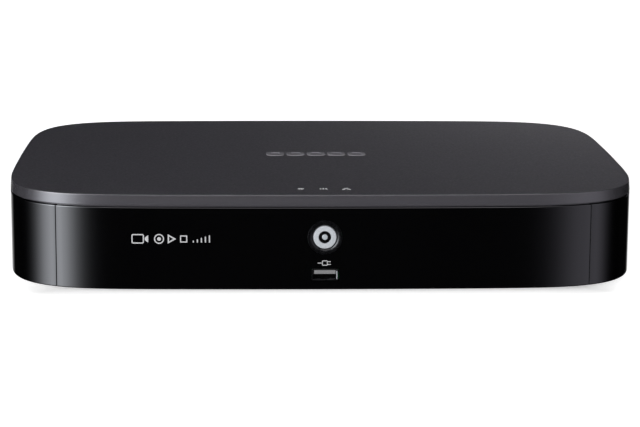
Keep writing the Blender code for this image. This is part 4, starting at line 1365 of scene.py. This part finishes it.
def build_studio():
    scene = bpy.context.scene
    scene.view_settings.view_transform = "Standard"
    scene.world = studio_world()
    build_floor()
    for light in LIGHTS:
        area_light(*light)
    build_glows()


def build_casing(stations):
    cover = satin_cover_material()
    gloss = gloss_black_material()
    build_lid(stations, cover, satin_rim_material())
    build_lid_posts(cover)
    build_front_plate(stations, gloss)
    build_side_walls(stations, gloss)


def build_usb_sockets(silver, nickel, black, gold):
    # The front shell's darkened steel is painted shade in the socket's mouth.
    # The front socket's side finger takes the pale silver paint as a painted highlight.
    build_usb_shell("front", 1, socket_shade_material(), silver)
    build_usb_blade("front", plastic("pale_tongue", (0.1, 0.1, 0.103)), gold)
    build_usb_shell("rear", -1, nickel, nickel)
    build_usb_blade("rear", black, gold)


def build_outer_marks(stations, ink):
    build_front_marks(stations, ink)
    build_port_mark(stations, ink)
    build_lid_marks(lid_print_material())
    build_badge(badge_material())


def build_rear_connectors(nickel, gold, black, red):
    white = plastic("white_plastic", (0.7, 0.7, 0.68))
    green = plastic("green_plastic", (0.02, 0.27, 0.08))
    for number in range(1, 9):
        build_bnc(number, nickel, white, gold)
    build_audio(black, nickel, red, white)
    build_vga(nickel, plastic("blue_plastic", (0.02, 0.06, 0.32)), gold)
    build_hdmi(nickel, black, gold)
    build_lan(nickel, black, gold, green, plastic("amber_lamp", (0.6, 0.32, 0.02), 0.25))
    build_terminal(green, nickel)
    build_power_inlet(black, nickel)


def paint_cad_nodes(nodes, zinc, nickel, black, red):
    paint(nodes, zinc, "base_pan")
    paint(nodes, nickel, "coin_cell")
    paint(nodes, powder_coat_material(), "rear_panel")
    paint(nodes, board_material(), "led_board", "front_board", "main_board", "hdd_circuit_board")
    paint(nodes, cast_material(), "heat_sink", "hdd_base", "hdd_head_arm")
    paint(nodes, black, "button_switch", "switch_plunger", "processor")
    paint(nodes, black, "bnc_housing", "fan_frame", "fan_rotor")
    paint(nodes, drive_cover_material(), "hdd_cover")
    paint(nodes, disc_material(), "hdd_platters")
    paint(nodes, red, "sata_data_cable")
    paint(nodes, plastic("yellow_cable", (0.5, 0.3, 0.02)), "drive_power_cable")
    paint(nodes, plastic("grey_ribbon", (0.3, 0.3, 0.31)), "front_panel_cable")


def main():
    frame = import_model()
    build_camera()
    build_studio()

    stations = casing_outline()
    nickel = nickel_material()
    gold = gold_material()
    zinc = zinc_material()
    silver = silver_ring_material()
    black = black_plastic_material()
    red = plastic("red_plastic", (0.5, 0.02, 0.02))
    ink = print_material()
    build_casing(stations)
    build_button(bezel_material(), silver, lens_material())
    build_usb_sockets(silver, nickel, black, gold)
    build_outer_marks(stations, ink)
    build_rear_connectors(nickel, gold, black, red)
    build_panel_marks(ink)
    build_panel_screws(nickel)
    build_feet(rubber_material())
    build_screws(zinc)
    paint_cad_nodes(frame["nodes"], zinc, nickel, black, red)


main()
